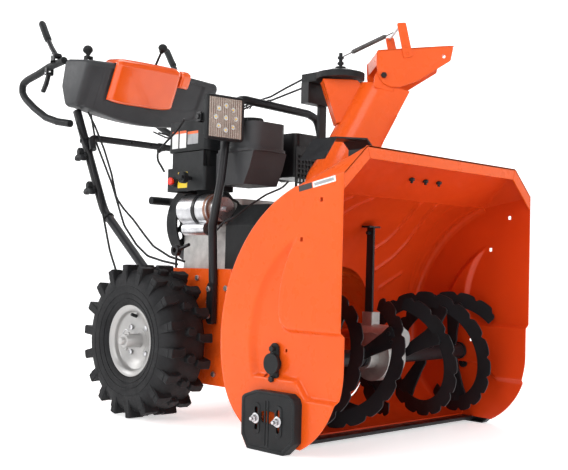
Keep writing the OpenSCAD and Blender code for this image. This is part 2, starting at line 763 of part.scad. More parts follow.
module deflector() {
    w = chute_w / 2 + cheek_gap;
    cheek = [[77, 911], [265, 930], [258, 892], [177, 839], [135, 823], [112, 823], [95, 831], [84, 847], [78, 870]];
    color(orange) in_chute() difference() {
        union() {
            for (s = [0, 1]) mirror([0, s, 0]) {
                translate([0, w + chute_t, 0]) rotate([90, 0, 0]) linear_extrude(chute_t) polygon(cheek);
                translate([0, w + chute_t + 3, 0]) rotate([90, 0, 0]) linear_extrude(3.1)
                    polygon([[143, 893], [165, 898], [146, 980], [124, 978]]);
            }
            translate([0, w + chute_t, 0]) rotate([90, 0, 0]) linear_extrude(2 * (w + chute_t))
                polygon([[77, 911], [265, 930], [265, 927.5], [77, 908.5]]);
            translate([0, w + chute_t, 0]) rotate([90, 0, 0]) linear_extrude(2 * (w + chute_t))
                polygon([[77, 911], [79.5, 911], [80.5, 880], [78, 880]]);
            translate([135, w + chute_t + 3, 975]) rotate([90, 0, 0]) cylinder(d = 6, h = 2 * (w + chute_t + 3));
        }
        translate([hinge[0], w + 10, hinge[1]]) rotate([90, 0, 0]) cylinder(d = 8.4, h = 2 * w + 20);
        translate([241, w + 10, 902]) rotate([90, 0, 0]) cylinder(d = 9, h = 2 * w + 20);
    }
}

module deflector_spring() {
    p = [6.6, 0, 909];
    q = [130, 0, 974];
    color(steel) in_chute() {
        bar([p, p + 0.16 * (q - p)], 3, 8);
        bar([p + 0.16 * (q - p), p + 0.86 * (q - p)], 12, 12);
        bar([p + 0.86 * (q - p), q], 3, 8);
    }
}

module rotator_bracket() {
    color(black) {
        box(-27, 47, -302, -276, 799, 851.9);
        box(26, 50, -292.8, -282.8, impeller_z + drum_d / 2 + 5, 799.1);
        difference() {
            box(20, 56, -294, -262, 360, impeller_z + drum_d / 2 + 6);
            rod_y(drum_d + 2 * sheet + 0.2, -300, -250, 0, impeller_z);
        }
    }
}

module rotator_head() {
    color(black) {
        translate([0, chute_y, 850]) cylinder(d = 120, h = 15);
        translate([0, chute_y, 864.9]) cylinder(d1 = 116, d2 = 60, h = 9);
        translate([0, chute_y, 873]) cylinder(d = 26, h = 9);
        translate([0, chute_y, 881]) cylinder(d = 9, h = 36);
        for (z = [888, 902]) translate([0, chute_y, z]) cylinder(d = 16, h = 6, $fn = 6);
        box(-24, 44, -345, -274, 852, 874);
    }
}

module cleanout_tool() {
    color(black) {
        along_y(-602, -532) difference() {
            polygon([[-283, 612], [-244, 664], [-143, 672], [-122, 655], [-122, 567], [-126, 567], [-126, 640]]);
            polygon([[-278, 610], [-242, 660.5], [-145, 668], [-126, 652], [-127, 640], [-127, 636]]);
        }
        rod_x(20, -122.5, 225, -566, 578);
    }
}

module cable_clips() {
    color(black) {
        difference() {
            for (x = [0, 180]) difference() {
                box(x - 9, x + 9, -581, -551, 530, 582);
                rod_x(20.6, x - 10, x + 10, -566, 578);
            }
            along_x(-in_w, in_w) wrap_disc(wrap_r + 0.1);
        }
        for (p = [[438, 739.7, -28], [300, 510.3, -51.7]])
            translate([-hx, p[0], p[1]]) rotate([p[2], 0, 0]) difference() {
                cylinder(d = handle_d + 6, h = 6);
                translate([0, 0, -1]) cylinder(d = handle_d + 0.4, h = 8);
            }
    }
}

// ---- lamp ----

lamp_bar_route = [[-203.3, -160, 240], [-203.3, -160, 345], [-203.3, -152, 484], [-178, -150, 600],
    [-166, -150, 700], [-158, -148, 770], [-119, -146, 813], [132, -146, 806], [168, -146, 795], [182, -148, 747],
    [178, -150, 620], [203.3, -152, 484], [203.3, -160, 345], [203.3, -160, 240]];

module light_bar() {
    color(black) {
        bar(smooth(lamp_bar_route, 45, 4), bar_d, 14);
        box(-176, -158, -170, -148, 734, 752);
        at_lamp() {
            difference() {
                for (x = [-lamp_w / 2 - 7, lamp_w / 2 + 3]) box(x, x + 4, 12, 34, -12, 12);
                rod_x(8.4, -lamp_w, lamp_w, 21, 0);
            }
            box(-lamp_w / 2 - 7, lamp_w / 2 + 7, 30, 34, -12, 12);
        }
    }
}

module at_lamp() { translate(lamp) rotate([0, 0, lamp_turn]) children(); }

module headlamp() {
    w = lamp_w / 2;
    color(black) at_lamp() {
        difference() {
            hull() for (x = [-w + 8, w - 8], z = [-w + 8, w - 8]) translate([x, 0, z]) rotate([90, 0, 0])
                cylinder(r = 8, h = 16, $fn = 32, center = true);
            box(-w + 6, w - 6, -10, -3, -w + 6, w - 6);
        }
        for (i = [0:8]) box(-w + 8 + 11 * i, -w + 12 + 11 * i, 7, 25, -w + 14, w - 14);
        for (s = [-1, 1]) translate([s > 0 ? w - 2 : -w - 8, 21, 0]) rotate([0, 90, 0]) cylinder(d = 8, h = 10);
        for (s = [-1, 1]) box(s > 0 ? w - 9 : -w + 1, s > 0 ? w - 1 : -w + 9, 7, 25, -10, 10);
    }
}

module headlamp_lens() {
    w = lamp_w / 2 - 6.2;
    color("tan") at_lamp() box(-w, w, -8, -3.1, -w, w);
}

// ---- handles and console ----

module lower_handles() {
    color(black) both() {
        bar(smooth([[hx, 84, 340], [hx, 325, 530], [hx, 346, 566]], 90, 5), handle_d, 14);
        box(frame_h + 0.1, hx, 62, 96, 336, 366);
    }
}

module upper_handles() {
    color(black) both() bar([[hx, 346, 566.3], [hx, 470, 800], [hx, 487, 832]], handle_d, 14);
}

module handle_crossbar() {
    color(black) bar(smooth([[-204, 398, 712], [-200, 417, 748], [200, 417, 748], [204, 398, 712]], 14, 3), 20, 14);
}

module wing_knobs() {
    color(black) both() for (p = [[360, 592], [413, 692]]) {
        rod_x(26, hx + handle_d / 2 + 0.3, hx + handle_d / 2 + 16, p[0], p[1]);
        box(hx + handle_d / 2 + 10, hx + handle_d / 2 + 26, p[0] - 24, p[0] + 24, p[1] - 4, p[1] + 4);
    }
}

// How far the middle of the console swells down and forward
function swell(x) = max(0, 1 - pow(x / 215, 2));

// Console section, clockwise from the top front edge, in (y, z)
function console_edge(x) = [[366 - 12 * swell(x), 967 + 4 * swell(x)], [503, 988], [523, 906], [500, 842 - 24 * swell(x)],
    [435 - 8 * swell(x), 843 - 36 * swell(x)]];

module console() {
    w = console_w / 2;
    middle = [455, 915];
    color(grey) {
        skin([for (p = [[-w, 0.86], [-w + 6, 0.95], [-w + 18, 1], [-180, 1], [-130, 1], [-80, 1], [-30, 1], [30, 1],
            [80, 1], [130, 1], [180, 1], [w - 18, 1], [w - 6, 0.95], [w, 0.86]])
            [for (q = console_edge(p[0])) let (v = middle + p[1] * (q - middle)) [p[0], v[0], v[1]]]]);
        for (x = gates, s = [-11, 7]) difference() {
            box(x + s, x + s + 4, 438, 454, 970, 994);
            rod_x(4.4, x + s - 1, x + s + 5, gate_axis[0], gate_axis[1]);
        }
    }
}

// Strip that lies on the console's front and top, from drop below the edge to back behind it
function cover_ring(x, drop, back, h) =
    let (e = console_edge(x), a = e[0], d = unit(e[4] - e[0]), b = unit(e[1] - e[0]))
    let (nf = [d[1], -d[0]], nt = [-b[1], b[0]], g = 0.3)
    [for (v = [a + d * drop + nf * g, a + d * (drop - 6) + nf * h, a + d * 2 + nf * h, a + nf * h * 0.6 + nt * h * 0.6,
        a + b * 2 + nt * h, a + b * (back - 4) + nt * h, a + b * back + nt * g, a + nf * g + nt * g]) [x, v[0], v[1]]];

module console_cover() {
    color(orange) {
        skin([for (x = [-158, -152, -110, -60, -10, 40, 66, 72])
            cover_ring(x, abs(x + 43) > 110 ? 112 : 122, 62, abs(x + 43) > 112 ? 8 : 15)]);
        skin([for (x = [76, 80, 108, 112]) cover_ring(x, 42, 40, x == 76 || x == 112 ? 7 : 12)]);
    }
}

loop_route = [[gx, 513, 984], [gx, 602, 975], [gx, 665, 962], [gx, 728, 952], [gx, grip_reach - grip_d / 2, 942],
    [gx, grip_reach - grip_d / 2, 914], [gx, 738, 893], [gx, 682, 858], [gx, 610, 822], [gx, 543, 803], [gx - 7, 480, 792]];

module loop_handles() {
    color(black) both() {
        bar(smooth(loop_route, 40, 3), grip_d, 14);
        for (x = [gx - 14, gx + 9]) box(x, x + 5, 550, 570, 980, 1012);
        box(gx - 14, gx + 14, 550, 570, 980, 989);
        rod_x(6, gx - 14, gx + 14, lever_axis[0], lever_axis[1]);
        for (x = [gx - 12, gx + 8]) box(x, x + 4, trigger_axis[0] - 6, trigger_axis[0] + 6, trigger_axis[1] - 5, 972);
        rod_x(5, gx - 12, gx + 12, trigger_axis[0], trigger_axis[1]);
    }
}

module hand_lever() {
    difference() {
        union() {
            rod_x(17, gx - 8, gx + 8, lever_axis[0], lever_axis[1]);
            bar(smooth([[gx, 562, 1006], [gx, 590, 1034], [gx, 622, 1074], [gx, 655, 1122]], 30, 3), 15, 12);
            bar([[gx, 606, 1054], [gx, 622, 1074], [gx, 657, 1125]], 22, 14);
        }
        rod_x(6.4, gx - 20, gx + 20, lever_axis[0], lever_axis[1]);
    }
}
module drive_lever() { color(black) hand_lever(); }
module auger_lever() { color(black) mirror([1, 0, 0]) hand_lever(); }

module trigger() {
    difference() {
        union() {
            rod_x(10, gx - 7, gx + 7, trigger_axis[0], trigger_axis[1]);
            along_x(gx - 6, gx + 6) polygon([[596, 956], [604, 956], [620, 930], [638, 904], [630, 900], [610, 922]]);
        }
        rod_x(5.4, gx - 20, gx + 20, trigger_axis[0], trigger_axis[1]);
    }
}
module trigger_left() { color(black) trigger(); }
module trigger_right() { color(black) mirror([1, 0, 0]) trigger(); }

// A short lever that swings on a pin between the two ears at x on the console
module gate_lever(x, tip, d) {
    difference() {
        union() {
            rod_x(11, x - 6.5, x + 6.5, gate_axis[0], gate_axis[1]);
            bar([[x, gate_axis[0], gate_axis[1] + 3], [x, tip[0], tip[1]]], 7, 10);
            translate([x, tip[0], tip[1]]) sphere(d = d);
        }
        rod_x(4, x - 20, x + 20, gate_axis[0], gate_axis[1]);
    }
    rod_x(4, x - 10, x + 10, gate_axis[0], gate_axis[1]);
}
module speed_lever() {
    color(black) gate_lever(gates[0], [402, 1052], 30);
}
module deflector_lever() {
    color(black) gate_lever(gates[1], [450, 1012], 30);
}

// ---- cables and rods ----

cable_routes = [
    [[-180, 469, 831], [-182, 424, 782], [-184, 371, 712], [-184, 330, 640], [-184, 302, 569], [-184, 262, 536],
        [-184, 216, 506], [-184, 160, 462], [-184, 119, 432], [-180, 50, 404], [-176, -9, 392]],
    [[-170, 470, 826], [-172, 438, 746], [-174, 340, 610], [-176, 270, 490], [-176, 207, 435], [-176, 154, 405],
        [-172, 90, 392], [-166, 33, 384]],
    [[-226, 448, 776], [-229, 378, 692], [-230, 325, 590], [-230, 284, 486], [-230, 258, 419], [-230, 219, 354],
        [-227, 214, 330]],
    [[-176, 8, 768], [-182, 32, 738], [-186, 70, 712], [-186, 109, 687], [-186, 108, 664], [-184, 92, 646],
        [-176, 89, 632]],
    [[60, 440, 796], [70, 380, 780], [60, 300, 786], [40, 120, 812], [10, -60, 832], [-10, -146, 834],
        [-26, -220, 846], [-20, -272, 862]],
    [[40, 440, 796], [50, 380, 772], [45, 300, 776], [26, 120, 800], [4, -60, 822], [-4, -146, 826],
        [-14, -220, 834], [-16, -274, 842]],
    [[-228, -200, 470], [-236, -230, 488], [-226, -262, 500], [-186, -258, 526], [-120, -256, 562],
        [-72, -262, 582], [-40, -250, 600]]];

module control_cables() {
    color(black) {
        for (i = [0:6]) bar(smooth(cable_routes[i], 60, 2), i < 4 ? 6 : 5, 8);
        translate([-185, 104, 690]) rotate([30, 0, 0]) cylinder(d = 12, h = 10, center = true);
    }
}

module shift_rod() {
    color(black) {
        bar([[-180, 10, 424], [-180, -31, 436]], 9, 10);
        difference() {
            rod_x(30, -186, -174, 23, 421);
            rod_x(14, -187, -173, 23, 421);
        }
        rod_x(6, -187, -173, 8, 424);
        bar([[-184, 16, 406], [-184, 16, frame_top + 0.2]], 6, 10);
    }
}

place() auger_housing();
place() side_plate_right();
place() side_plate_left();
place() impeller_drum();
place() scraper_bar();
place() skid_shoes();
place() skid_bolts();
place() auger_bearings();
place() housing_brace();
place() gearbox();
place() tractor_frame();
place() frame_bolts();
place() belt_cover();
place() engine_block();
place() recoil_housing();
place() intake_cover();
place() fuel_tank();
place() muffler();
place() muffler_guard();
place() control_box();
place() starter_motor();
place() light_bar();
place() lower_handles();
place() upper_handles();
place() handle_crossbar();
place() wing_knobs();
place() console();
place() console_cover();
place() loop_handles();
place() control_cables();
place() cable_clips();
place() shift_rod();
place() rotator_bracket();
place() rotator_head();
place() drive_belts();
place() hex_shaft();
place() crankshaft();
place() recoil_handle();
place() fuel_cap();
place() choke_knob();
place() stop_button();
place() headlamp();
place() headlamp_lens();
place() drive_lever();
place() auger_lever();
place() trigger_right();
place() trigger_left();
place() speed_lever();
place() deflector_lever();
place() chute();
place() deflector();
place() deflector_spring();
place() cleanout_tool();
place() tyre_right();
place() tyre_left();
place() wheel_right();
place() wheel_left();
place() auger_flights();
place() auger_shaft();
place() impeller();
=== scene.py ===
import json
import math

import bmesh
import bpy
import numpy as np
from mathutils import Matrix, Vector


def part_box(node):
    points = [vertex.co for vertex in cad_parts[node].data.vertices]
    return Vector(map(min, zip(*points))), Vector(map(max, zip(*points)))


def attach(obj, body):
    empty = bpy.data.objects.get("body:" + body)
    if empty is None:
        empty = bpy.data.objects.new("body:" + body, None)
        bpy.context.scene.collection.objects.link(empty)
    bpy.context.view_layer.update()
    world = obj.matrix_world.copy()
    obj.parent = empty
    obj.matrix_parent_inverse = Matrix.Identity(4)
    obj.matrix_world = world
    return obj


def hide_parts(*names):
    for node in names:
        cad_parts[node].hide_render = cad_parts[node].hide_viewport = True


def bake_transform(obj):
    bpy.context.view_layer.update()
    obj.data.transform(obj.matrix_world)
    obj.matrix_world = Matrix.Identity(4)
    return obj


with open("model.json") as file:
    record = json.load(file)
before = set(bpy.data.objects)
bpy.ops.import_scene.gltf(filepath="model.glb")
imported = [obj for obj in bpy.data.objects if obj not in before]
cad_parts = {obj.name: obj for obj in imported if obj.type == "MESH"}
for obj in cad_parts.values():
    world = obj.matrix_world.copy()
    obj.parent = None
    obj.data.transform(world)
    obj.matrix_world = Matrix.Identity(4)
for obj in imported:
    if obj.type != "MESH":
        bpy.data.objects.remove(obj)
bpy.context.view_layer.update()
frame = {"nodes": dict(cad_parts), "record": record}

# shapes are worked out in millimetres: x from the middle, y from the wheel axle, z from the ground
lowTyre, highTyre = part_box("tyre_right")
axleY = (lowTyre.y + highTyre.y) / 2


def toRow(points):  # millimetres from the axle to the frame's metres
    return np.asarray(points, float) / 1000 + np.array([0, axleY, 0])


# camera, floor and lights

view = {"place": (-1720.1, -1974.9, 382.2), "turn": -44.08, "tilt": -1.97, "roll": 1.43, "lens": 60.25}


def aimCamera(spec):
    turn, tilt, roll = (math.radians(spec[k]) for k in ("turn", "tilt", "roll"))
    back = Vector((math.sin(turn) * math.cos(tilt), -math.cos(turn) * math.cos(tilt), math.sin(tilt)))
    right = (-back).cross(Vector((0, 0, 1))).normalized()
    up = right.cross(-back)
    right, up = right * math.cos(roll) + up * math.sin(roll), up * math.cos(roll) - right * math.sin(roll)
    pose = Matrix((right, up, back)).transposed().to_4x4()
    pose.translation = Vector(toRow(spec["place"]))
    data = bpy.data.cameras.new("camera")
    data.lens = spec["lens"]
    data.sensor_width = 36
    data.sensor_fit = "HORIZONTAL"
    camera = bpy.data.objects.new("camera", data)
    camera.matrix_world = pose
    bpy.context.collection.objects.link(camera)
    bpy.context.scene.camera = camera


studio = {
    "skyColour": (0.86, 0.88, 0.92), "skyStrength": 0.20, "floorRadius": 9.0, "wallHeight": 5.0,
    "lights": [  # place, aim, size and power in watts
        ((-3.7, -1.3, 2.9), (0, -0.1, 0.45), 2.2, 72),
        ((-0.6, -4.2, 2.2), (0, -0.2, 0.5), 1.8, 20),
        ((0.2, 0.4, 4.2), (0, 0, 0.4), 2.6, 62),
        ((-2.4, 3.2, 2.4), (0, 0.2, 0.7), 1.8, 46),
        ((3.2, 2.4, 2.6), (0, 0.2, 0.7), 1.8, 40)]}


def nodeTree(name):
    material = bpy.data.materials.new(name)
    material.use_nodes = True
    nodes = material.node_tree.nodes
    shader = next(n for n in nodes if n.type == "BSDF_PRINCIPLED")
    return material, nodes, material.node_tree.links, shader


def buildStudio(spec):
    # the floor runs up into a round wall: radius and height follow a quarter turn at the edge
    turn = np.linspace(0, 2 * np.pi, 97)[:-1]
    bend = np.linspace(0, np.pi / 2, 12)
    radius = np.concatenate([[0, 3, 6], spec["floorRadius"] - 2 + 2 * np.sin(bend), [spec["floorRadius"]]])
    height = np.concatenate([[0, 0, 0], 2 - 2 * np.cos(bend), [spec["wallHeight"]]]) - 0.0005
    ring = np.stack([np.cos(turn), np.sin(turn), 0 * turn], -1)
    points = ring[:, None, :] * radius[None, :, None] + height[None, :, None] * np.array([0, 0, 1])
    mesh = bpy.data.meshes.new("floor")
    mesh.from_pydata(points.reshape(-1, 3).tolist(), [], gridFaces(96, len(radius), True).tolist())
    mesh.polygons.foreach_set("use_smooth", np.ones(len(mesh.polygons), bool))
    floor = bpy.data.objects.new("floor", mesh)
    bpy.context.collection.objects.link(floor)
    material, nodes, links, shader = nodeTree("pale_floor")
    noise = nodes.new("ShaderNodeTexNoise")
    noise.inputs["Scale"].default_value = 3
    ramp = nodes.new("ShaderNodeValToRGB")
    ramp.color_ramp.elements[0].color = (0.90, 0.90, 0.90, 1)
    ramp.color_ramp.elements[1].color = (0.94, 0.94, 0.94, 1)
    links.new(noise.outputs["Fac"], ramp.inputs["Fac"])
    links.new(ramp.outputs["Color"], shader.inputs["Base Color"])
    shader.inputs["Roughness"].default_value = 0.7
    shader.inputs["Specular IOR Level"].default_value = 0.2
    shader.inputs["Emission Color"].default_value = (1, 1, 1, 1)
    shader.inputs["Emission Strength"].default_value = 0.55
    mesh.materials.append(material)
    world = bpy.data.worlds.new("studio")
    bpy.context.scene.world = world
    world.use_nodes = True
    sky = world.node_tree.nodes["Background"]
    sky.inputs["Color"].default_value = (*spec["skyColour"], 1)
    sky.inputs["Strength"].default_value = spec["skyStrength"]
    for i, (place, aim, size, power) in enumerate(spec["lights"]):
        data = bpy.data.lights.new(f"softbox{i}", "AREA")
        data.shape = "SQUARE"
        data.size = size
        data.energy = power
        lamp = bpy.data.objects.new(f"softbox{i}", data)
        lamp.location = place
        lamp.rotation_euler = (Vector(aim) - Vector(place)).to_track_quat("-Z", "Y").to_euler()
        bpy.context.collection.objects.link(lamp)
    bpy.context.scene.view_settings.view_transform = "Standard"


# meshes from grids of points

def gridFaces(nu, nv, closeU=False, closeV=False):  # four corners of every cell of a grid
    i, j = np.meshgrid(np.arange(nu if closeU else nu - 1), np.arange(nv if closeV else nv - 1),
                       indexing="ij")
    k, m = (i + 1) % nu, (j + 1) % nv
    return np.stack([i * nv + j, k * nv + j, k * nv + m, i * nv + m], -1).reshape(-1, 4)


def shell(points, closeU=False, closeV=False, caps=False):  # grid of points to corners and faces
    nu, nv = points.shape[:2]
    faces = gridFaces(nu, nv, closeU, closeV).tolist()
    if caps:
        faces += [list(range(nv)), list(range((nu - 1) * nv, nu * nv))]
    return points.reshape(-1, 3), faces


def joined(*parts):
    corners, faces, count = [], [], 0
    for points, cells in parts:
        corners.append(points)
        faces += [[k + count for k in cell] for cell in cells]
        count += len(points)
    return np.concatenate(corners), faces


def mirrored(part):  # the same part on the other side of the machine
    return part[0] * np.array([-1, 1, 1]), part[1]


def same(part):
    return part


def bothSides(part):
    return joined(part, mirrored(part))


def moved(part, offset):
    return part[0] + np.asarray(offset, float), part[1]


def turned(part, angle, centre, axis):  # turned by an angle in degrees about an axis through a centre
    spin = np.array(Matrix.Rotation(math.radians(angle), 3, Vector(axis)))
    return (part[0] - np.asarray(centre, float)) @ spin.T + np.asarray(centre, float), part[1]


def roundRoute(points, bend, n=6):  # a route whose corners are arcs of radius bend
    points = np.asarray(points, float)
    out = [points[0]]
    for p, q, s in zip(points[:-2], points[1:-1], points[2:]):
        u, v = (p - q) / np.linalg.norm(p - q), (s - q) / np.linalg.norm(s - q)
        half = math.acos(max(-0.9999, min(0.9999, float(u @ v)))) / 2
        reach = min(bend / math.tan(half), 0.45 * np.linalg.norm(p - q), 0.45 * np.linalg.norm(s - q))
        centre = q + (u + v) / max(np.linalg.norm(u + v), 1e-9) * reach / math.cos(half)
        start = q + u * reach - centre
        turn = np.linspace(0, math.pi - 2 * half, n + 1)[:, None]
        radius = np.linalg.norm(start)
        out.extend(centre + start * np.cos(turn) - u * radius * np.sin(turn))
    out.append(points[-1])
    return np.array(out)


def sweep(path, outline, first=(1, 0, 0), scale=None):
    # every point of the outline is carried along the path, turning as little as it can
    path = np.asarray(path, float)
    outline = np.asarray(outline, float)
    ahead = np.gradient(path, axis=0)
    ahead /= np.linalg.norm(ahead, axis=1)[:, None]
    side = np.empty_like(ahead)
    across = np.asarray(first, float)
    for i, step in enumerate(ahead):
        across = across - (across @ step) * step
        across = across / np.linalg.norm(across)
        side[i] = across
    up = np.cross(ahead, side)
    size = np.ones(len(path)) if scale is None else np.asarray(scale, float)
    flat = side[:, None] * outline[None, :, :1] + up[:, None] * outline[None, :, 1:]
    points = path[:, None] + size[:, None, None] * flat
    return shell(points, closeV=True, caps=True)


def circle(radius, n=20, squash=1.0):
    turn = np.linspace(0, 2 * np.pi, n + 1)[:-1]
    return np.stack([radius * np.cos(turn), radius * squash * np.sin(turn)], -1)


def tube(points, radius, bend=0, n=20, first=(1, 0, 0), steps=6):
    return sweep(roundRoute(points, bend, steps) if bend else points, circle(radius, n), first)


def grip(points, radius, bend=0, n=20, first=(1, 0, 0), nose=1.0):
    # a tube with round ends: near an end its radius falls as a quarter circle
    path = roundRoute(points, bend) if bend else np.asarray(points, float)
    along = np.concatenate([[0], np.cumsum(np.linalg.norm(np.diff(path, axis=0), axis=1))])
    dip = radius * nose * (1 - np.cos(np.linspace(0, np.pi / 2, 7)))
    between = along[(along > dip[-1]) & (along < along[-1] - dip[-1])]
    stations = np.unique(np.concatenate([dip, between, along[-1] - dip]))
    place = np.stack([np.interp(stations, along, path[:, k]) for k in range(3)], -1)
    depth = np.clip(np.minimum(stations, along[-1] - stations) / (radius * nose), 0, 1)
    return sweep(place, circle(radius, n), first, np.sqrt(np.maximum(1 - (1 - depth) ** 2, 0.0004)))


def lathe(profile, centre, axis="x", n=96, closed=False):
    # each pair of the profile, a radius and a place along the axis, is carried round the axis
    profile = np.asarray(profile, float)
    turn = np.linspace(0, 2 * np.pi, n + 1)[:-1]
    order = {"x": (2, 0, 1), "y": (0, 2, 1), "z": (0, 1, 2)}[axis]
    round_ = np.stack([np.cos(turn)[:, None] * profile[None, :, 0],
                       np.sin(turn)[:, None] * profile[None, :, 0],
                       np.broadcast_to(profile[None, :, 1], (n, len(profile)))], -1)
    return moved(shell(round_[..., order], closeU=True, closeV=closed), centre)


def disc(radius, a, b, centre, axis="x", n=40, edge=0.8):  # a short cylinder with a small chamfer
    a, b = min(a, b), max(a, b)
    edge = min(edge, radius / 3, (b - a) / 3)
    return lathe([(0, a), (radius - edge, a), (radius, a + edge), (radius, b - edge), (radius - edge, b),
                  (0, b)],
                 centre, axis, n)


def plate(outline, a, b, axis="x", edge=0.0):
    # a flat outline given thickness from a to b; with an edge its rim is chamfered towards its middle
    outline = np.asarray(outline, float)
    a, b = min(a, b), max(a, b)
    middle = outline.mean(0)
    reach = np.linalg.norm(outline - middle, axis=1)[:, None]
    inner = outline - (outline - middle) / np.maximum(reach, 1e-6) * edge
    if edge:
        rings = [(inner, a), (outline, a + edge), (outline, b - edge), (inner, b)]
    else:
        rings = [(outline, a), (outline, b)]
    place = {"x": (2, 0, 1), "y": (0, 2, 1), "z": (0, 1, 2)}[axis]
    points = np.array([np.column_stack([flat, np.full(len(flat), level)])[:, place] for flat, level in rings])
    return shell(points, closeV=True, caps=True)


def block(x0, x1, y0, y1, z0, z1, edge=1.0):
    return plate([(x0, y0), (x1, y0), (x1, y1), (x0, y1)], z0, z1, "z", edge)


def roundedOutline(points, radius, n=5):  # a closed outline with round corners
    points = np.asarray(points, float)
    ring = np.vstack([points[-1:], points, points[:1]])
    flat = roundRoute(np.column_stack([ring, np.zeros(len(ring))]), radius, n)[1:-1]
    return flat[:, :2]


def rectangle(a0, a1, b0, b1, corner):  # an outline with round corners
    return roundedOutline([(a0, b0), (a1, b0), (a1, b1), (a0, b1)], corner)


def hexNut(size, a, b, y, z):  # a hexagonal head with its axis along x
    turn = np.radians(np.arange(0, 360, 60) + 30)
    outline = np.stack([y + size / 1.732 * np.cos(turn), z + size / 1.732 * np.sin(turn)], -1)
    return plate(outline, a, b, "x", 0.7)


def piece(name, part, look, body, replaces=(), sharp=38, merge=1e-6):
    corners, faces = part
    mesh = bpy.data.meshes.new(name)
    mesh.from_pydata(toRow(corners).tolist(), [], faces)
    work = bmesh.new()
    work.from_mesh(mesh)
    bmesh.ops.remove_doubles(work, verts=work.verts, dist=merge)
    bmesh.ops.recalc_face_normals(work, faces=work.faces)
    work.to_mesh(mesh)
    work.free()
    return finished(name, mesh, look, body, replaces, sharp)


def finished(name, mesh, look, body, replaces=(), sharp=38):
    mesh.polygons.foreach_set("use_smooth", np.ones(len(mesh.polygons), bool))
    mesh.set_sharp_from_angle(angle=math.radians(sharp))
    mesh.materials.clear()
    mesh.materials.append(looks[look])
    obj = bpy.data.objects.new(name, mesh)
    bpy.context.collection.objects.link(obj)
    if body:  # a blended piece rides on no single body
        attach(obj, body)
    if replaces:
        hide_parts(*replaces)
    return obj


def softened(node, width, look=None, angle=25):
    # the same solid as the node, with its coplanar triangles joined and its edges rounded
    mesh = frame["nodes"][node].data.copy()
    work = bmesh.new()
    work.from_mesh(mesh)
    bmesh.ops.remove_doubles(work, verts=work.verts, dist=2e-5)
    bmesh.ops.dissolve_limit(work, angle_limit=math.radians(1.5), verts=work.verts, edges=work.edges)
    work.to_mesh(mesh)
    work.free()
    look = look or slotByNode[node]
    obj = finished(node + "_finish", mesh, look, bodyByNode[node], (node,), angle)
    bevel = obj.modifiers.new("edges", "BEVEL")
    bevel.width = width / 1000
    bevel.segments = 3
    bevel.limit_method = "ANGLE"
    bevel.angle_limit = math.radians(angle)
    bevel.harden_normals = True
    return obj


def carve(obj, cutterPart):  # takes the cutter's shape out of a closed piece
    cutter = bpy.data.objects.new("cutter", bpy.data.meshes.new("cutter"))
    cutter.data.from_pydata(toRow(cutterPart[0]).tolist(), [], cutterPart[1])
    work = bmesh.new()
    work.from_mesh(cutter.data)
    bmesh.ops.remove_doubles(work, verts=work.verts, dist=1e-6)
    bmesh.ops.recalc_face_normals(work, faces=work.faces)
    work.to_mesh(cutter.data)
    work.free()
    bpy.context.collection.objects.link(cutter)
    tool = obj.modifiers.new("cut", "BOOLEAN")
    tool.operation = "DIFFERENCE"
    tool.solver = "EXACT"
    tool.object = cutter
    bpy.context.view_layer.update()
    result = bpy.data.meshes.new_from_object(obj.evaluated_get(bpy.context.evaluated_depsgraph_get()))
    obj.modifiers.remove(tool)
    obj.data = result
    bpy.data.objects.remove(cutter)
    return obj


def paintedShadeInside(obj, look, isInside):  # a second material on the faces that look into the machine: a darker copy of the paint there, which is painted shade
    obj.data.materials.append(looks[look])
    for face in obj.data.polygons:
        if isInside(face.center, face.normal):
            face.material_index = 1


def smoothStep(value, start, end):
    t = np.clip((value - start) / (end - start), 0, 1)
    return t * t * (3 - 2 * t)


# finishes: colour, gloss and relief of every material

slotByNode = {part["node"]: part["material_slot"] for part in frame["record"]["subparts"]}
bodyByNode = {node: body for body, nodes in frame["record"]["behaviour"]["bodies"].items() for node in nodes}

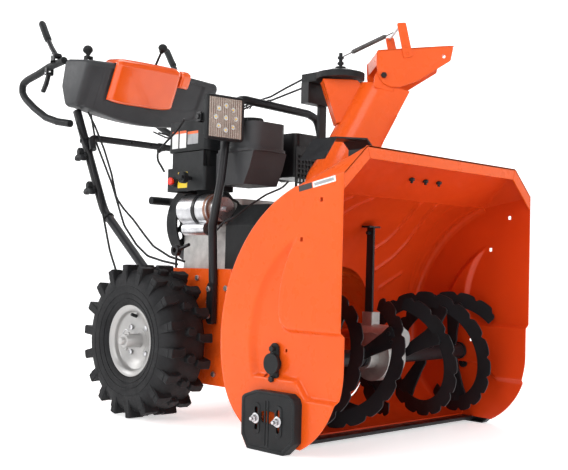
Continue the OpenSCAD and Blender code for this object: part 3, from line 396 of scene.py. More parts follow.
finishes = {  # light and dark tone, size of the patches, range of roughness, metal, coat, relief
    "orange_paint": {"shine": 0.18, "tones": ((0.76, 0.098, 0.010), (0.70, 0.086, 0.008)), "patch": 5,
                     "rough": (0.24, 0.34),
                     "coat": 0.14, "relief": ("noise", 420, 0.10)},
    # the same orange paint made darker for faces inside the housing: painted shade where the real paint is
    # only shaded
    "orange_paint_painted_shade": {"shine": 0.3, "tones": ((0.66, 0.050, 0.005), (0.57, 0.040, 0.004)), "patch": 5,
                           "rough": (0.30, 0.42), "coat": 0.10, "relief": ("noise", 420, 0.10)},
    "deep_orange_paint": {"shine": 0.3, "tones": ((0.62, 0.055, 0.008), (0.50, 0.040, 0.006)), "patch": 6,
                          "rough": (0.30, 0.45),
                          "coat": 0.3, "relief": ("noise", 420, 0.12)},
    "black_paint": {"shine": 0.20, "tones": ((0.015, 0.015, 0.017), (0.009, 0.009, 0.010)), "patch": 9,
                    "rough": (0.28, 0.44),
                    "coat": 0.05, "relief": ("noise", 900, 0.18)},
    "black_plastic": {"shine": 0.16, "tones": ((0.019, 0.020, 0.021), (0.012, 0.013, 0.014)), "patch": 12,
                      "rough": (0.42, 0.58),
                      "relief": ("voronoi", 1300, 0.16)},
    "grey_plastic": {"shine": 0.20, "tones": ((0.052, 0.053, 0.056), (0.038, 0.039, 0.041)), "patch": 9,
                     "rough": (0.40, 0.55),
                     "relief": ("voronoi", 1100, 0.14)},
    "orange_plastic": {"tones": ((0.86, 0.115, 0.012), (0.78, 0.090, 0.008)), "patch": 8,
                       "rough": (0.14, 0.24),
                       "coat": 0.6, "relief": ("noise", 300, 0.04)},
    "red_plastic": {"tones": ((0.72, 0.020, 0.010), (0.60, 0.012, 0.006)), "patch": 30, "rough": (0.22, 0.35),
                    "relief": ("noise", 500, 0.06)},
    "zinc": {"tones": ((0.66, 0.66, 0.67), (0.48, 0.48, 0.50)), "patch": 45, "rough": (0.24, 0.42),
             "metal": 1.0,
             "relief": ("noise", 800, 0.16)},
    "silver_paint": {"tones": ((0.44, 0.43, 0.42), (0.34, 0.335, 0.33)), "patch": 14, "rough": (0.30, 0.42),
                     "metal": 0.55, "relief": ("noise", 1200, 0.12)},
    "cast_metal": {"tones": ((0.58, 0.57, 0.55), (0.36, 0.35, 0.34)), "patch": 26, "rough": (0.38, 0.58),
                   "metal": 0.85, "relief": ("voronoi", 520, 0.45)},
    "rubber": {"shine": 0.16, "tones": ((0.022, 0.022, 0.023), (0.013, 0.013, 0.014)), "patch": 30,
               "rough": (0.45, 0.62),
               "relief": ("noise", 1500, 0.15)},
    "tyre": {"shine": 0.14, "tones": ((0.020, 0.020, 0.021), (0.010, 0.010, 0.011)), "patch": 24,
             "rough": (0.50, 0.72),
             "relief": ("noise", 600, 0.28)},
    "lens": {"tones": ((0.27, 0.22, 0.18), (0.20, 0.16, 0.13)), "patch": 40, "rough": (0.18, 0.30),
             "metal": 0.4,
             "coat": 0.8, "relief": ("noise", 500, 0.05)},
    "bronze": {"tones": ((0.30, 0.16, 0.11), (0.19, 0.10, 0.075)), "patch": 40, "rough": (0.28, 0.46),
               "metal": 0.8,
               "relief": ("voronoi", 700, 0.35)},
    "gunmetal": {"tones": ((0.17, 0.165, 0.16), (0.10, 0.098, 0.095)), "patch": 50, "rough": (0.30, 0.42),
                 "metal": 0.9,
                 "relief": ("noise", 900, 0.15)},
    "mirror": {"tones": ((0.50, 0.49, 0.47), (0.40, 0.39, 0.37)), "patch": 60, "rough": (0.10, 0.22),
               "metal": 1.0,
               "relief": ("noise", 900, 0.05)},
    "white_label": {"tones": ((0.80, 0.80, 0.79), (0.70, 0.70, 0.69)), "patch": 60, "rough": (0.35, 0.48),
                    "relief": ("noise", 900, 0.05)},
    "grey_label": {"tones": ((0.34, 0.34, 0.35), (0.26, 0.26, 0.27)), "patch": 60, "rough": (0.35, 0.48),
                   "relief": ("noise", 900, 0.05)},
    "yellow_label": {"tones": ((0.84, 0.60, 0.020), (0.74, 0.50, 0.015)), "patch": 60, "rough": (0.35, 0.48),
                     "relief": ("noise", 900, 0.05)},
    "orange_label": {"tones": ((0.80, 0.13, 0.020), (0.72, 0.10, 0.015)), "patch": 60, "rough": (0.35, 0.48),
                     "relief": ("noise", 900, 0.05)},
    "black_label": {"tones": ((0.022, 0.022, 0.024), (0.014, 0.014, 0.015)), "patch": 60,
                    "rough": (0.35, 0.48),
                    "relief": ("noise", 900, 0.05)}}


def buildFinish(name, spec):
    # two tones mixed by a soft noise, a roughness that wanders between two values, and a fine relief
    material, nodes, links, shader = nodeTree(name)
    place = nodes.new("ShaderNodeTexCoord")
    patches = nodes.new("ShaderNodeTexNoise")
    patches.inputs["Scale"].default_value = spec["patch"]
    patches.inputs["Detail"].default_value = 8
    tones = nodes.new("ShaderNodeValToRGB")
    tones.color_ramp.elements[0].position = 0.32
    tones.color_ramp.elements[0].color = (*spec["tones"][1], 1)
    tones.color_ramp.elements[1].position = 0.68
    tones.color_ramp.elements[1].color = (*spec["tones"][0], 1)
    scuffs = nodes.new("ShaderNodeTexNoise")
    scuffs.inputs["Scale"].default_value = spec["patch"] * 7
    scuffs.inputs["Detail"].default_value = 10
    gloss = nodes.new("ShaderNodeMapRange")
    gloss.inputs["From Min"].default_value = 0.3
    gloss.inputs["From Max"].default_value = 0.7
    gloss.inputs["To Min"].default_value = spec["rough"][0]
    gloss.inputs["To Max"].default_value = spec["rough"][1]
    kind, scale, strength = spec["relief"]
    grain = nodes.new("ShaderNodeTexVoronoi" if kind == "voronoi" else "ShaderNodeTexNoise")
    grain.inputs["Scale"].default_value = scale
    bump = nodes.new("ShaderNodeBump")
    bump.inputs["Strength"].default_value = strength
    bump.inputs["Distance"].default_value = 0.0004
    for texture in (patches, scuffs, grain):
        links.new(place.outputs["Object"], texture.inputs["Vector"])
    links.new(patches.outputs["Fac"], tones.inputs["Fac"])
    links.new(tones.outputs["Color"], shader.inputs["Base Color"])
    links.new(scuffs.outputs["Fac"], gloss.inputs["Value"])
    links.new(gloss.outputs["Result"], shader.inputs["Roughness"])
    links.new(grain.outputs["Distance" if kind == "voronoi" else "Fac"], bump.inputs["Height"])
    links.new(bump.outputs["Normal"], shader.inputs["Normal"])
    shader.inputs["Metallic"].default_value = spec.get("metal", 0)
    shader.inputs["Specular IOR Level"].default_value = spec.get("shine", 0.5)
    shader.inputs["Coat Weight"].default_value = spec.get("coat", 0)
    shader.inputs["Coat Roughness"].default_value = 0.12
    return material


buildStudio(studio)
aimCamera(view)
looks = {name: buildFinish(name, spec) for name, spec in finishes.items()}
for node, obj in frame["nodes"].items():
    obj.data.materials.clear()
    obj.data.materials.append(looks[slotByNode[node]])
print("studio and", len(looks), "finishes")


# intake housing

housing = {"halfWidth": 340, "outer": 343, "sheet": 3, "mouthY": -716, "wrapCentre": (-706, 225),
           "axis": (-528, 181), "floorR": 165, "frontR": 188, "roofZ": 634, "ridge": 272, "backY": -582,
           "lipHeight": 26, "fillet": 13, "ribHeight": 4.0, "ribWidth": 5.0, "seamDepth": 1.4,
           "ribs": [[(79, 35.7), (116, 42), (124, 48.7), (107, 60), (88, 67)],
                    [(134, 27.3), (178, 33.3), (197, 42), (183, 53.9), (154, 66.5)],
                    [(176, 19.1), (241, 25.9)]],
           "seam": [[(296, 19), (279, 35)], [(273, 41), (240, 56)], [(228, 60), (210, 68)]]}
housing["wrapR"] = housing["floorR"] + math.hypot(178, 44)
housing["lowTurn"] = math.degrees(math.atan2(-44, 178))
housing["topTurn"] = math.degrees(math.acos((housing["backY"] - housing["wrapCentre"][0]) / housing["wrapR"]))
housing["backZ"] = housing["wrapCentre"][1] + housing["wrapR"] * math.sin(math.radians(housing["topTurn"]))
housing["plateTop"] = housing["wrapCentre"][1] + housing["wrapR"]


def wrapCurve(spec, radiusDrop, n):  # the back and floor as two arcs that meet smoothly
    back = np.radians(np.linspace(spec["topTurn"], spec["lowTurn"], n))
    floor = np.radians(np.linspace(spec["lowTurn"], -90, n // 2)[1:])
    r1, r2 = spec["wrapR"] - radiusDrop, spec["floorR"] - radiusDrop
    (y1, z1), (y2, z2) = spec["wrapCentre"], spec["axis"]
    upper = np.stack([y1 + r1 * np.cos(back), z1 + r1 * np.sin(back)], -1)
    lower = np.stack([y2 + r2 * np.cos(floor), z2 + r2 * np.sin(floor)], -1)
    return np.concatenate([upper, lower]), np.concatenate([back, floor])


def distanceToLine(x, s, line):  # distance from every grid point to a line of points
    best = np.full(x.shape, 1e9)
    for (x0, s0), (x1, s1) in zip(line[:-1], line[1:]):
        along = np.clip(((x - x0) * (x1 - x0) + (s - s0) * (s1 - s0)) / ((x1 - x0) ** 2 + (s1 - s0) ** 2), 0,
                        1)
        best = np.minimum(best, np.hypot(x - x0 - along * (x1 - x0), s - s0 - along * (s1 - s0)))
    return best


def curved(points):  # a line through a few points, its corners rounded widely
    flat = np.column_stack([np.asarray(points, float), np.zeros(len(points))])
    return roundRoute(flat, 60, 8)[:, :2]


def wrapSheet(spec):
    # the inner curve, pushed inwards by ribs, seams and fillets at both sides, then the plain outer curve
    half, edge = spec["halfWidth"], spec["fillet"]
    x = np.concatenate([np.linspace(-half, -half + edge, 8),
                        np.linspace(-half + edge, half - edge, 230)[1:-1],
                        np.linspace(half - edge, half, 8)])
    outer, _ = wrapCurve(spec, 0, 60)
    inner, turn = wrapCurve(spec, spec["sheet"], 150)
    grid, arcs = np.meshgrid(x, turn * spec["wrapR"], indexing="ij")
    onBack = np.arange(len(inner)) < 150
    lift = np.zeros(grid.shape)
    for rib in spec["ribs"]:
        line = curved([(px, math.radians(a) * spec["wrapR"]) for px, a in rib])
        away = distanceToLine(np.abs(grid), arcs, line)
        lift += spec["ribHeight"] * np.exp(-(away / spec["ribWidth"]) ** 2)
    for seam in spec["seam"]:
        line = [(px, math.radians(a) * spec["wrapR"]) for px, a in seam]
        away = distanceToLine(np.abs(grid), arcs, line)
        lift -= spec["seamDepth"] * np.exp(-(away / 1.8) ** 2)
    strip = smoothStep(np.abs(grid), 300, 309) * (1 - smoothStep(np.abs(grid), 315, 324))
    lift = (lift + 1.6 * strip) * onBack[None]
    nearSide = np.clip(np.abs(grid) - half + edge, 0, edge)
    lift += edge - np.sqrt(np.maximum(edge ** 2 - nearSide ** 2, 0))
    lift = np.minimum(lift, edge)
    radial = np.stack([-np.cos(turn), -np.sin(turn)], -1)
    innerPoints = inner[None] + radial[None] * lift[..., None]
    outerPoints = np.broadcast_to(outer[None, ::-1], (len(x), *outer.shape))
    flat = np.concatenate([innerPoints, outerPoints], 1)
    points = np.concatenate([np.broadcast_to(x[:, None, None], (*flat.shape[:2], 1)), flat], -1)
    return shell(points, closeV=True, caps=True)


def roofSheet(spec):
    # sections across the roof: level in the middle, down to the side plates, with round ridges
    rows = []
    for t in np.linspace(0, 1, 14):
        y = spec["mouthY"] + t * (spec["backY"] + 1.5 - spec["mouthY"])
        ridge = spec["ridge"] + t * (spec["halfWidth"] - 1 - spec["ridge"])
        top = spec["roofZ"] + t * (spec["backZ"] - 0.6 - spec["roofZ"])
        side = spec["plateTop"] + t * (spec["backZ"] - 1 - spec["plateTop"])
        line = roundRoute([(-spec["halfWidth"], 0, side), (-ridge, 0, top), (ridge, 0, top),
                           (spec["halfWidth"], 0, side)], 14, 6)
        ring = np.concatenate([line, line[::-1] - [0, 0, spec["sheet"] * 1.15]])
        ring[:, 1] = y
        rows.append(ring)
    return shell(np.array(rows), closeV=True, caps=True)


def mouthLip(spec):
    y, top, side = spec["mouthY"], spec["roofZ"], spec["plateTop"]
    half, ridge, drop = spec["halfWidth"], spec["ridge"], spec["lipHeight"]
    middle = plate([(-ridge + 0.6, top - 0.4), (ridge - 0.6, top - 0.4), (ridge - 9.6, top - drop),
                    (-ridge + 9.6, top - drop)], y, y + 3, "y", 0.8)
    corner = plate([(ridge, top - 0.4), (half, side - 0.4), (half, side - 34), (ridge - 8.6, top - drop)],
                   y, y + 3, "y", 0.8)
    return joined(middle, bothSides(corner))


def roofPoint(x, y, spec):  # a point on the underside of the level part of the roof
    share = (y - spec["mouthY"]) / (spec["backY"] - spec["mouthY"])
    return np.array([x, y, spec["roofZ"] + share * (spec["backZ"] - spec["roofZ"]) - 4])


def buildHousing(spec):
    wrap = piece("housing_wrap", wrapSheet(spec), "orange_paint", "machine", ("auger_housing",), sharp=60)
    low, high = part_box("impeller_drum")
    drum = (high.x - low.x) * 500 - spec["sheet"]
    carve(wrap, lathe([(0, -500), (drum, -500), (drum, -290), (0, -290)], (0, 0, 226), "y", 96))
    centre = Vector((0, spec["wrapCentre"][0] / 1000 + axleY, spec["wrapCentre"][1] / 1000))
    # the inward faces of the wrap get the darker copy of the paint, painted shade
    paintedShadeInside(wrap, "orange_paint_painted_shade",
               lambda place, normal: normal.y * (centre.y - place.y) + normal.z * (centre.z - place.z) > 0.02)
    roof = piece("housing_roof", roofSheet(spec), "orange_paint", "machine", sharp=50)
    # the roof's underside gets the darker copy of the paint, painted shade
    paintedShadeInside(roof, "orange_paint_painted_shade", lambda place, normal: normal.z < -0.1)
    piece("housing_lip", mouthLip(spec), "orange_paint", "machine")
    nuts = [disc(6.5, -6, 0.5, roofPoint(x, -650, spec), "z", 6, 0.8) for x in (-44, 6, 56)]
    studs = [disc(3.2, -11, -5, roofPoint(x, -650, spec), "z", 12, 0.6) for x in (-44, 6, 56)]
    piece("roof_nuts", joined(*nuts, *studs), "black_paint", "machine")


def plateRelief(y, z):
    # how far the pressed shapes stand below the flat outer rim: a wide hollow that follows the back edge,
    # and inside it a raised field with an oval back and a level foot
    hollow = 255 - np.hypot(y + 706, z - 225)
    foot = z - (147 - 36 * smoothStep(-y, 590, 632))
    depth = smoothStep(np.minimum(hollow, foot * 1.4), 0, 17)
    oval = (1 - np.hypot((y + 690) / 158, (z - 300) / 200)) * 165
    level = z - 247
    blend = np.clip(0.5 + 0.5 * (level - oval) / 34, 0, 1)
    inside = level * (1 - blend) + oval * blend - 34 * blend * (1 - blend)
    field = smoothStep(inside, 0, 10)
    fade = 1 - smoothStep(z, 415, 505)
    return -11.5 * depth * (1 - field) * fade


def sidePlate(spec):
    # rows from the foot to the top; each runs from the mouth edge to the back edge and returns inside
    axisY, axisZ = spec["axis"]
    footTurn = math.radians(63)
    footY, footZ = axisY - spec["frontR"] * math.cos(footTurn), axisZ - spec["frontR"] * math.sin(footTurn)
    z = np.concatenate([footZ + 60 * (1 - np.cos(np.linspace(0, np.pi / 2, 26)))[:-1],
                        np.linspace(footZ + 60, spec["plateTop"], 150)])
    low, side = z < axisZ, z > spec["backZ"]
    front = np.where(low, axisY - np.sqrt(np.maximum(spec["frontR"] ** 2 - (z - axisZ) ** 2, 0)),
                     spec["mouthY"])
    front = np.where(z <= footZ + 0.01, footY, front)
    wrapY, wrapZ = spec["wrapCentre"]
    meet = axisZ + spec["floorR"] * math.sin(math.radians(spec["lowTurn"]))
    floorBack = axisY + np.sqrt(np.maximum(spec["floorR"] ** 2 - (z - axisZ) ** 2, 0))
    wrapBack = wrapY + np.sqrt(np.maximum(spec["wrapR"] ** 2 - (z - wrapZ) ** 2, 0))
    slope = (spec["mouthY"] - spec["backY"]) / (spec["plateTop"] - spec["backZ"])
    back = np.where(side, spec["backY"] + (z - spec["backZ"]) * slope,
                    np.where(z < meet, floorBack, wrapBack))
    foot = z < axisZ - spec["floorR"]
    back = np.where(foot, footY + (z - footZ) / (axisZ - spec["floorR"] - footZ) * (axisY - footY), back)
    back = np.maximum(back, front + 0.05)
    share = np.linspace(0, 1, 110)
    y = front[:, None] + (back - front)[:, None] * share[None]
    height = np.broadcast_to(z[:, None], y.shape)
    relief = plateRelief(y, height)
    rim = np.minimum(np.minimum(y - front[:, None], back[:, None] - y), 3)
    roundness = 0.9 * (1 - rim / 3) ** 2
    outer = np.stack([-(spec["outer"] + relief - roundness), y, height], -1)
    inner = np.stack([-(spec["halfWidth"] + relief + 0.05), y, height], -1)
    return shell(np.concatenate([outer, inner[:, ::-1]], 1), closeV=True, caps=True)


plateHoles = {"square": [(-658, 521), (-604, 441)], "squareSize": 9,
              "round": [(-556, 210, 4), (-501, 154, 4)]}


def buildSidePlate(name, node, part, sign):
    plateObj = piece(name, part, "orange_paint", "machine", (node,), sharp=50)
    size = plateHoles["squareSize"] / 2
    cuts = [plate(rectangle(y - size, y + size, z - size, z + size, 1.2), sign * 320, sign * 360)
            for y, z in plateHoles["square"]]
    cuts += [lathe([(0, sign * 320), (r, sign * 320), (r, sign * 360), (0, sign * 360)], (0, y, z), "x", 20)
             for y, z, r in plateHoles["round"]]
    carve(plateObj, joined(*cuts))
    # the plate's inward face gets the darker copy of the paint, painted shade
    paintedShadeInside(plateObj, "orange_paint_painted_shade", lambda place, normal: normal.x * sign < -0.3)


buildHousing(housing)
rightPlate = sidePlate(housing)
buildSidePlate("side_plate_right_sheet", "side_plate_right", rightPlate, -1)
buildSidePlate("side_plate_left_sheet", "side_plate_left", mirrored(rightPlate), 1)
print("housing")

# tyres and wheels

tyre = {"centre": (285, 0, 190.5), "radius": 190.5,
        "carcass": [(83.5, -41), (84, -45), (90, -50), (95, -55), (112, -60.5), (129, -63), (145, -62.6),
                    (156.5, -60),
                    (168, -53), (174.5, -46), (177.5, -36), (178.5, -20)],
        "lugs": 18, "shoulderHeight": 190.3, "centreHeight": 190.4}


def lug(outline, turn, low, high, spec, lean=1.6):
    # outline in (x, distance round the tread): a block between two radii, narrower at its top, edges cut
    outline = np.asarray(outline, float)
    middle = outline.mean(axis=0)
    rows = []
    for radius, shrink in ((low, 0), (high - 1.2, lean), (high, lean + 1.4)):
        size = np.abs(outline - middle).max(axis=0)
        ring = middle + (outline - middle) * (1 - shrink / size)
        angle = math.radians(turn) + ring[:, 1] / spec["radius"]
        rows.append(np.stack([ring[:, 0], radius * np.sin(angle), radius * np.cos(angle)], -1))
    return shell(np.array(rows), closeV=True, caps=True)


def tyreParts(spec):
    half = spec["carcass"]
    carcass = lathe(half + [(r, -x) for r, x in half[::-1]], (0, 0, 0), "x", 144, closed=True)
    rings = []
    for side in (-1, 1):  # moulded rings on each side wall
        for radius, place, size in ((104, 58.6, 1.6), (118, 62.1, 1.3), (136, 63.2, 1.2)):
            turn = np.linspace(0, 2 * np.pi, 9)[:-1]
            rings.append(lathe([(radius + size * math.cos(a),
                                 side * (place - 0.6) + size * math.sin(a)) for a in turn],
                               (0, 0, 0), "x", 96, closed=True))
    blocks = []
    step = 360 / spec["lugs"]
    for i in range(spec["lugs"]):
        for side in (-1, 1):
            turn = step * i + step / 2 + 5 * side
            shoulder = [(side * 18, -4), (side * 34, -12), (side * 60, -14), (side * 62.5, -10),
                        (side * 62.5, 8),
                        (side * 60, 12), (side * 36, 10), (side * 20, 14)]
            blocks.append(lug(shoulder[::side], turn, 150, spec["shoulderHeight"], spec))
            wall = [(side * 60.5, -13), (side * 62.9, -13), (side * 62.9, 9), (side * 60.5, 9)]
            blocks.append(lug(wall[::side], turn, 131, 176, spec, 0.4))
        centre = [(-14, -9), (0, -13), (14, -9), (15, 3), (8, 12), (0, 7), (-8, 12), (-15, 3)]
        blocks.append(lug(centre, step * i, 170, spec["centreHeight"], spec))
    return joined(carcass, *rings, *blocks)


wheel = {"rim": [
    (89, -51), (89.4, -49.5), (89, -48), (84, -45.5), (80.5, -43), (79, -40), (77.5, -31), (74, -27.5),
    (66, -25.5), (58, -23.5), (52, -20.5), (44, -18.6), (36, -17.3), (30, -17), (30, -20.2), (36, -20.6),
    (44, -22), (52, -24.2), (58, -27.5), (64, -30.6), (69, -32.2), (72.5, -34), (73.6, -38), (74, -43),
    (76, -46), (82, -48.6), (86, -51)]}


def wheelParts(spec):
    front = lathe(spec["rim"], (0, 0, 0), "x", 96, closed=True)
    back = lathe([(89, 51), (89, 48), (80, 42.5), (77, -28), (73.4, -28), (73.4, 45)], (0, 0, 0), "x", 96,
                 closed=True)
    hub = lathe([(9.7, -69), (15.4, -69), (17, -67.4), (17, -24), (18.5, -21.4), (30.8, -21), (30.8, -17.2),
                 (17, -17),
                 (17, 49), (9.7, 49)], (0, 0, 0), "x", 48, closed=True)
    axle = disc(9.5, -79, -6, (0, 0, 0), "x", 36, 1.2)
    inner = disc(9.5, -10, 224, (0, 0, 0), "x", 36, 1.2)
    pin = turned(disc(4, -24, 22, (-57, 0, 0), "z", 20, 0.8), 12, (-57, 0, 0), (1, 0, 0))
    clip = tube([(-57, 0, 24), (-57, 0, 27), (-57, 12, 28), (-57, 20, 16), (-57, 21, 2), (-57, 14, -14)],
                1.3, 9, 8)
    holes = [disc(6.5, -26.4, -22.6, (0, 44 * math.cos(a), 44 * math.sin(a)), "x", 24, 0.6)
             for a in np.radians(np.arange(45, 360, 90))]
    valve = turned(disc(4.2, -48, -30, (0, 0, 62), "x", 20, 1), 20, (-36, 0, 62), (0, 1, 0))
    return joined(front, back, hub, axle, inner, pin), joined(clip, *holes), valve


def buildWheels(spec, rimSpec):
    rubber = tyreParts(spec)
    metal, small, valve = wheelParts(rimSpec)
    for side, name in ((-1, "right"), (1, "left")):
        body = name + "_wheel"
        x, y, z = spec["centre"]
        place = (side * x, y, z)
        flip = same if side < 0 else mirrored
        piece("tyre_" + name + "_rubber", moved(flip(rubber), place), "tyre", body, ("tyre_" + name,),
              sharp=35)
        piece("wheel_" + name + "_metal", moved(flip(metal), place), "silver_paint", body,
              ("wheel_" + name,), sharp=50)
        piece("wheel_" + name + "_fittings", moved(flip(small), place), "zinc", body, sharp=50)
        piece("wheel_" + name + "_valve", moved(flip(valve), place), "black_plastic", body)


buildWheels(tyre, wheel)
print("wheels")


# auger

auger = {"axis": (-528, 181), "outer": 151.6, "inner": 114, "sheet": 4, "from": 44, "to": 320, "turn": 395,
         "starts": (75, 269), "arms": (0.12, 0.5, 0.88), "tooth": 20, "notch": 7.5}


def ribbon(start, spec):
    # the outer edge is a saw: it rises slowly through each tooth and drops back in a small round notch
    u = np.linspace(0, 1, 640)
    turn = spec["turn"] * u
    phase = (turn / spec["tooth"]) % 1
    notch = spec["notch"] * np.exp(-((phase - 0.5) / 0.11) ** 2) + 2.2 * (0.5 - np.abs(phase - 0.5))
    ends = np.minimum(1, np.minimum(u, 1 - u) * spec["turn"] / 9)
    wide = (spec["outer"] - spec["inner"]) * (0.45 + 0.55 * np.sqrt(ends))
    outer = spec["inner"] + wide - notch * ends
    angle = np.radians(start - turn)
    x = spec["from"] + (spec["to"] - spec["from"]) * u
    y, z = spec["axis"]
    half, edge = spec["sheet"] / 2, 0.7
    section = [(0, -half), (1, -half + edge), (1, half - edge), (0, half)]
    rings = []
    for share, shift in section:
        radius = spec["inner"] + (outer - spec["inner"]) * share
        rings.append(np.stack([x + shift, y - radius * np.cos(angle), z + radius * np.sin(angle)], -1))
    radius = spec["inner"]
    rings.append(np.stack([x, y - radius * np.cos(angle), z + radius * np.sin(angle)], -1))
    return shell(np.stack(rings, 1), closeV=True, caps=True)


def augerArm(start, share, spec):
    y, z = spec["axis"]
    x = spec["from"] + (spec["to"] - spec["from"]) * share
    reach = spec["inner"] + 11
    paddle = plate(roundedOutline([(-27, -reach), (27, -reach), (20, -reach + 30), (14, -44), (14, -16),
                                   (-14, -16),
                                   (-14, -44), (-20, -reach + 30)], 9), -3, 3, "x", 0.8)
    bolts = [disc(5, 3, 6.5, (0, p, -reach + 12), "x", 6, 0.8) for p in (-10, 10)]
    # the paddle is drawn pointing down and rolled to the ribbon's angle
    part = turned(joined(paddle, *bolts), -(start - spec["turn"] * share) - 90, (0, 0, 0), (1, 0, 0))
    return moved(part, (x, y, z))


def buildAuger(spec):
    y, z = spec["axis"]
    half = [ribbon(a, spec) for a in spec["starts"]]
    arms = [augerArm(a, k, spec) for a in spec["starts"] for k in spec["arms"]]
    pipe = lathe([(12.6, 59), (18, 59), (19, 60), (19, 321), (18, 322), (12.6, 322)], (0, y, z), "x", 48,
                 closed=True)
    rings = [lathe([(18.6, p - 4), (21.5, p - 3), (21.5, p + 3), (18.6, p + 4)], (0, y, z), "x", 48,
                   closed=True)
             for p in (63, 318)]
    piece("auger_ribbons", bothSides(joined(*half)), "black_paint", "auger", ("auger_flights",), sharp=35)
    piece("auger_arms", bothSides(joined(*arms)), "black_paint", "auger", sharp=40)
    piece("auger_pipes", bothSides(joined(pipe, *rings)), "black_paint", "auger", sharp=40)


buildAuger(auger)
print("auger")


# skid shoes

skid = {"outline": [(-458, 28), (-457.5, 107), (-465, 113), (-499, 125), (-598, 125.6), (-613, 117),
                    (-617.6, 106),
                    (-617.6, 28), (-586, 0.2), (-477, 0.2)], "faces": (343.1, 364.8), "slots": (-504, -570),
        "slotFoot": 43, "slotTop": 91, "slotWide": 9}


def buildSkids(spec):
    inner, outer = spec["faces"]
    outline = np.array(roundedOutline(spec["outline"], 5))
    middle = outline.mean(axis=0)

    def ring(shrink, x):
        size = np.abs(outline - middle).max(axis=0)
        flat = middle + (outline - middle) * (1 - shrink / size)
        return np.column_stack([np.full(len(flat), float(x)), flat])
    # an open tray: round outer edge, a raised rim, a face set back inside it, hollow behind
    rows = [ring(0, inner), ring(0, outer - 2.2), ring(0.7, outer - 0.6), ring(2.2, outer), ring(6.5, outer),
            ring(7.5, outer - 0.8), ring(8.4, outer - 2), ring(60, outer - 2)]
    back = [ring(60, outer - 5), ring(3.2, outer - 5), ring(3.2, inner)]
    shoe = shell(np.array(rows + back), closeU=True, closeV=True)
    pads = []
    for y in spec["slots"]:
        pads.append(plate(rectangle(y - 11, y + 11, 34, 100, 10.8), outer - 4, outer - 0.5, "x", 0.8))
    ridges = [plate(rectangle(a, a + 4, 12, 106, 1.9), outer - 3, outer - 0.9, "x",
                    0.7) for a in (-541, -532)]
    half = spec["slotWide"] / 2
    cut = joined(*[plate(rectangle(y - half, y + half, spec["slotFoot"], spec["slotTop"], half - 0.05), 320,
                         380)
                   for y in spec["slots"]])
    for side, name in ((-1, "right"), (1, "left")):
        flip = mirrored if side < 0 else same
        replaced = ("skid_shoes",) if side < 0 else ()
        obj = piece("skid_shoe_" + name, flip(shoe), "black_plastic", "machine", replaced, sharp=35)
        carve(obj, flip(cut))
        trim = piece("skid_pads_" + name, flip(joined(*pads, *ridges)), "black_plastic", "machine", sharp=35)
        carve(trim, flip(cut))


def buildSkidBolts(spec):
    parts = []
    outer = spec["faces"][1] + 0.2
    for y in spec["slots"]:
        centre = (0, y, 67)
        washer = [(4, 0), (10.4, 0), (11, 0.5), (11, 1.6), (10.4, 2), (4, 2)]
        parts.append(lathe([(r, outer + p) for r, p in washer], centre, "x", 36, closed=True))
        parts.append(hexNut(13, outer + 2, outer + 9, y, 67))
        parts.append(disc(4, 334, outer + 15.9, centre, "x", 20, 1))
        parts.append(disc(10, 331, 339.8, centre, "x", 32, 2))
    piece("skid_fasteners", bothSides(joined(*parts)), "zinc", "machine", ("skid_bolts",), sharp=35)


buildSkids(skid)
buildSkidBolts(skid)
print("skids")

# chute and deflector: drawn along their own axis of throw, then turned into place

chute = {"centre": (0, -385, 0), "turn": -40, "wall": 2.5,
         # height, back, front, half width of each section, from the collar to the top
         "sections": [(588.5, -83.0, 67, 84.0), (600, -80.5, 71, 82.4), (612, -76.8, 75.5, 79.8),
                      (626, -70.2, 80, 76.2),
                      (641, -60.6, 84, 72.6), (650, -54.2, 86,
                                               71), (662, -46.6, 87.4, 70), (690, -32.3, 98.4, 70),
                      (720, -17.3, 113.4, 70), (752, -1.4, 129.3,
                                                70), (780, 12.6, 143.3, 70), (812, 28.6, 159.3, 70),
                      (842, 43.6, 174.3, 70)],
         "lip": 7.4, "throw": 0.4986, "mouth": (44, 842, 13),
         "gusset": [(-44, 845.6), (38, 845.6), (48, 836), (17.4, 770), (3, 742), (-8, 738)],
         "ear": [(72, 822), (122, 812), (118, 850), (110, 862), (82, 862), (74, 850)], "hinge": (95, 850)}


def placed(part, spec):  # turned about an upright axis, then moved to its centre
    return moved(turned(part, spec["turn"], (0, 0, 0), (0, 0, 1)), spec["centre"])


def inChute(part):
    return placed(part, chute)


def bothCheeks(part):  # the same part on the other cheek
    return joined(part, (part[0] * np.array([1, -1, 1]), part[1]))


def chuteChannel(spec):
    # a U-shaped section swept upwards: round at the back, flat cheeks, small lips turned out in front
    wall = spec["wall"]
    levels = np.array(spec["sections"])
    z = np.concatenate([np.linspace(588.5, 662, 24), np.linspace(662, 757, 20)[1:],
                        np.linspace(757, 842, 24)[1:]])
    back, front, half = (np.interp(z, levels[:, 0], levels[:, k]) for k in (1, 2, 3))
    lip = spec["lip"] * smoothStep(z, 641, 650) * (1 - smoothStep(z, 753, 757.5)) + 0.05
    rows = []
    for i in range(len(z)):
        w = half[i]
        turn = np.linspace(0, np.pi / 2, 22)

        def side(r, gap, tip):
            arc = [(back[i] + gap + r - r * math.cos(a), r * math.sin(a)) for a in turn]
            return arc + [(front[i] - tip, r)]
        outer = side(w, 0, wall) + [(front[i] - wall, w + lip[i]), (front[i], w + lip[i])]
        inner = side(w - wall, wall, 0)[::-1]
        across = [(px, -py) for px, py in outer[:0:-1]]
        acrossInside = [(px, -py) for px, py in inner[-2::-1]]
        ring = np.array(across + outer + inner + acrossInside)
        rows.append(np.column_stack([ring, np.full(len(ring), z[i])]))
    points = np.array(rows)
    x0, z0, slope = spec["mouth"]
    # the top is trimmed along the sloping mouth: heights above the slope are laid onto it
    limit = z0 - (points[..., 0] - x0) * math.tan(math.radians(slope))
    over = np.maximum(points[..., 2] - limit, 0)
    throw = spec["throw"]
    lean = np.array([throw, 0, 1]) / (1 + throw * math.tan(math.radians(slope)))
    points = points - over[..., None] * lean
    return shell(points, closeV=True, caps=True)


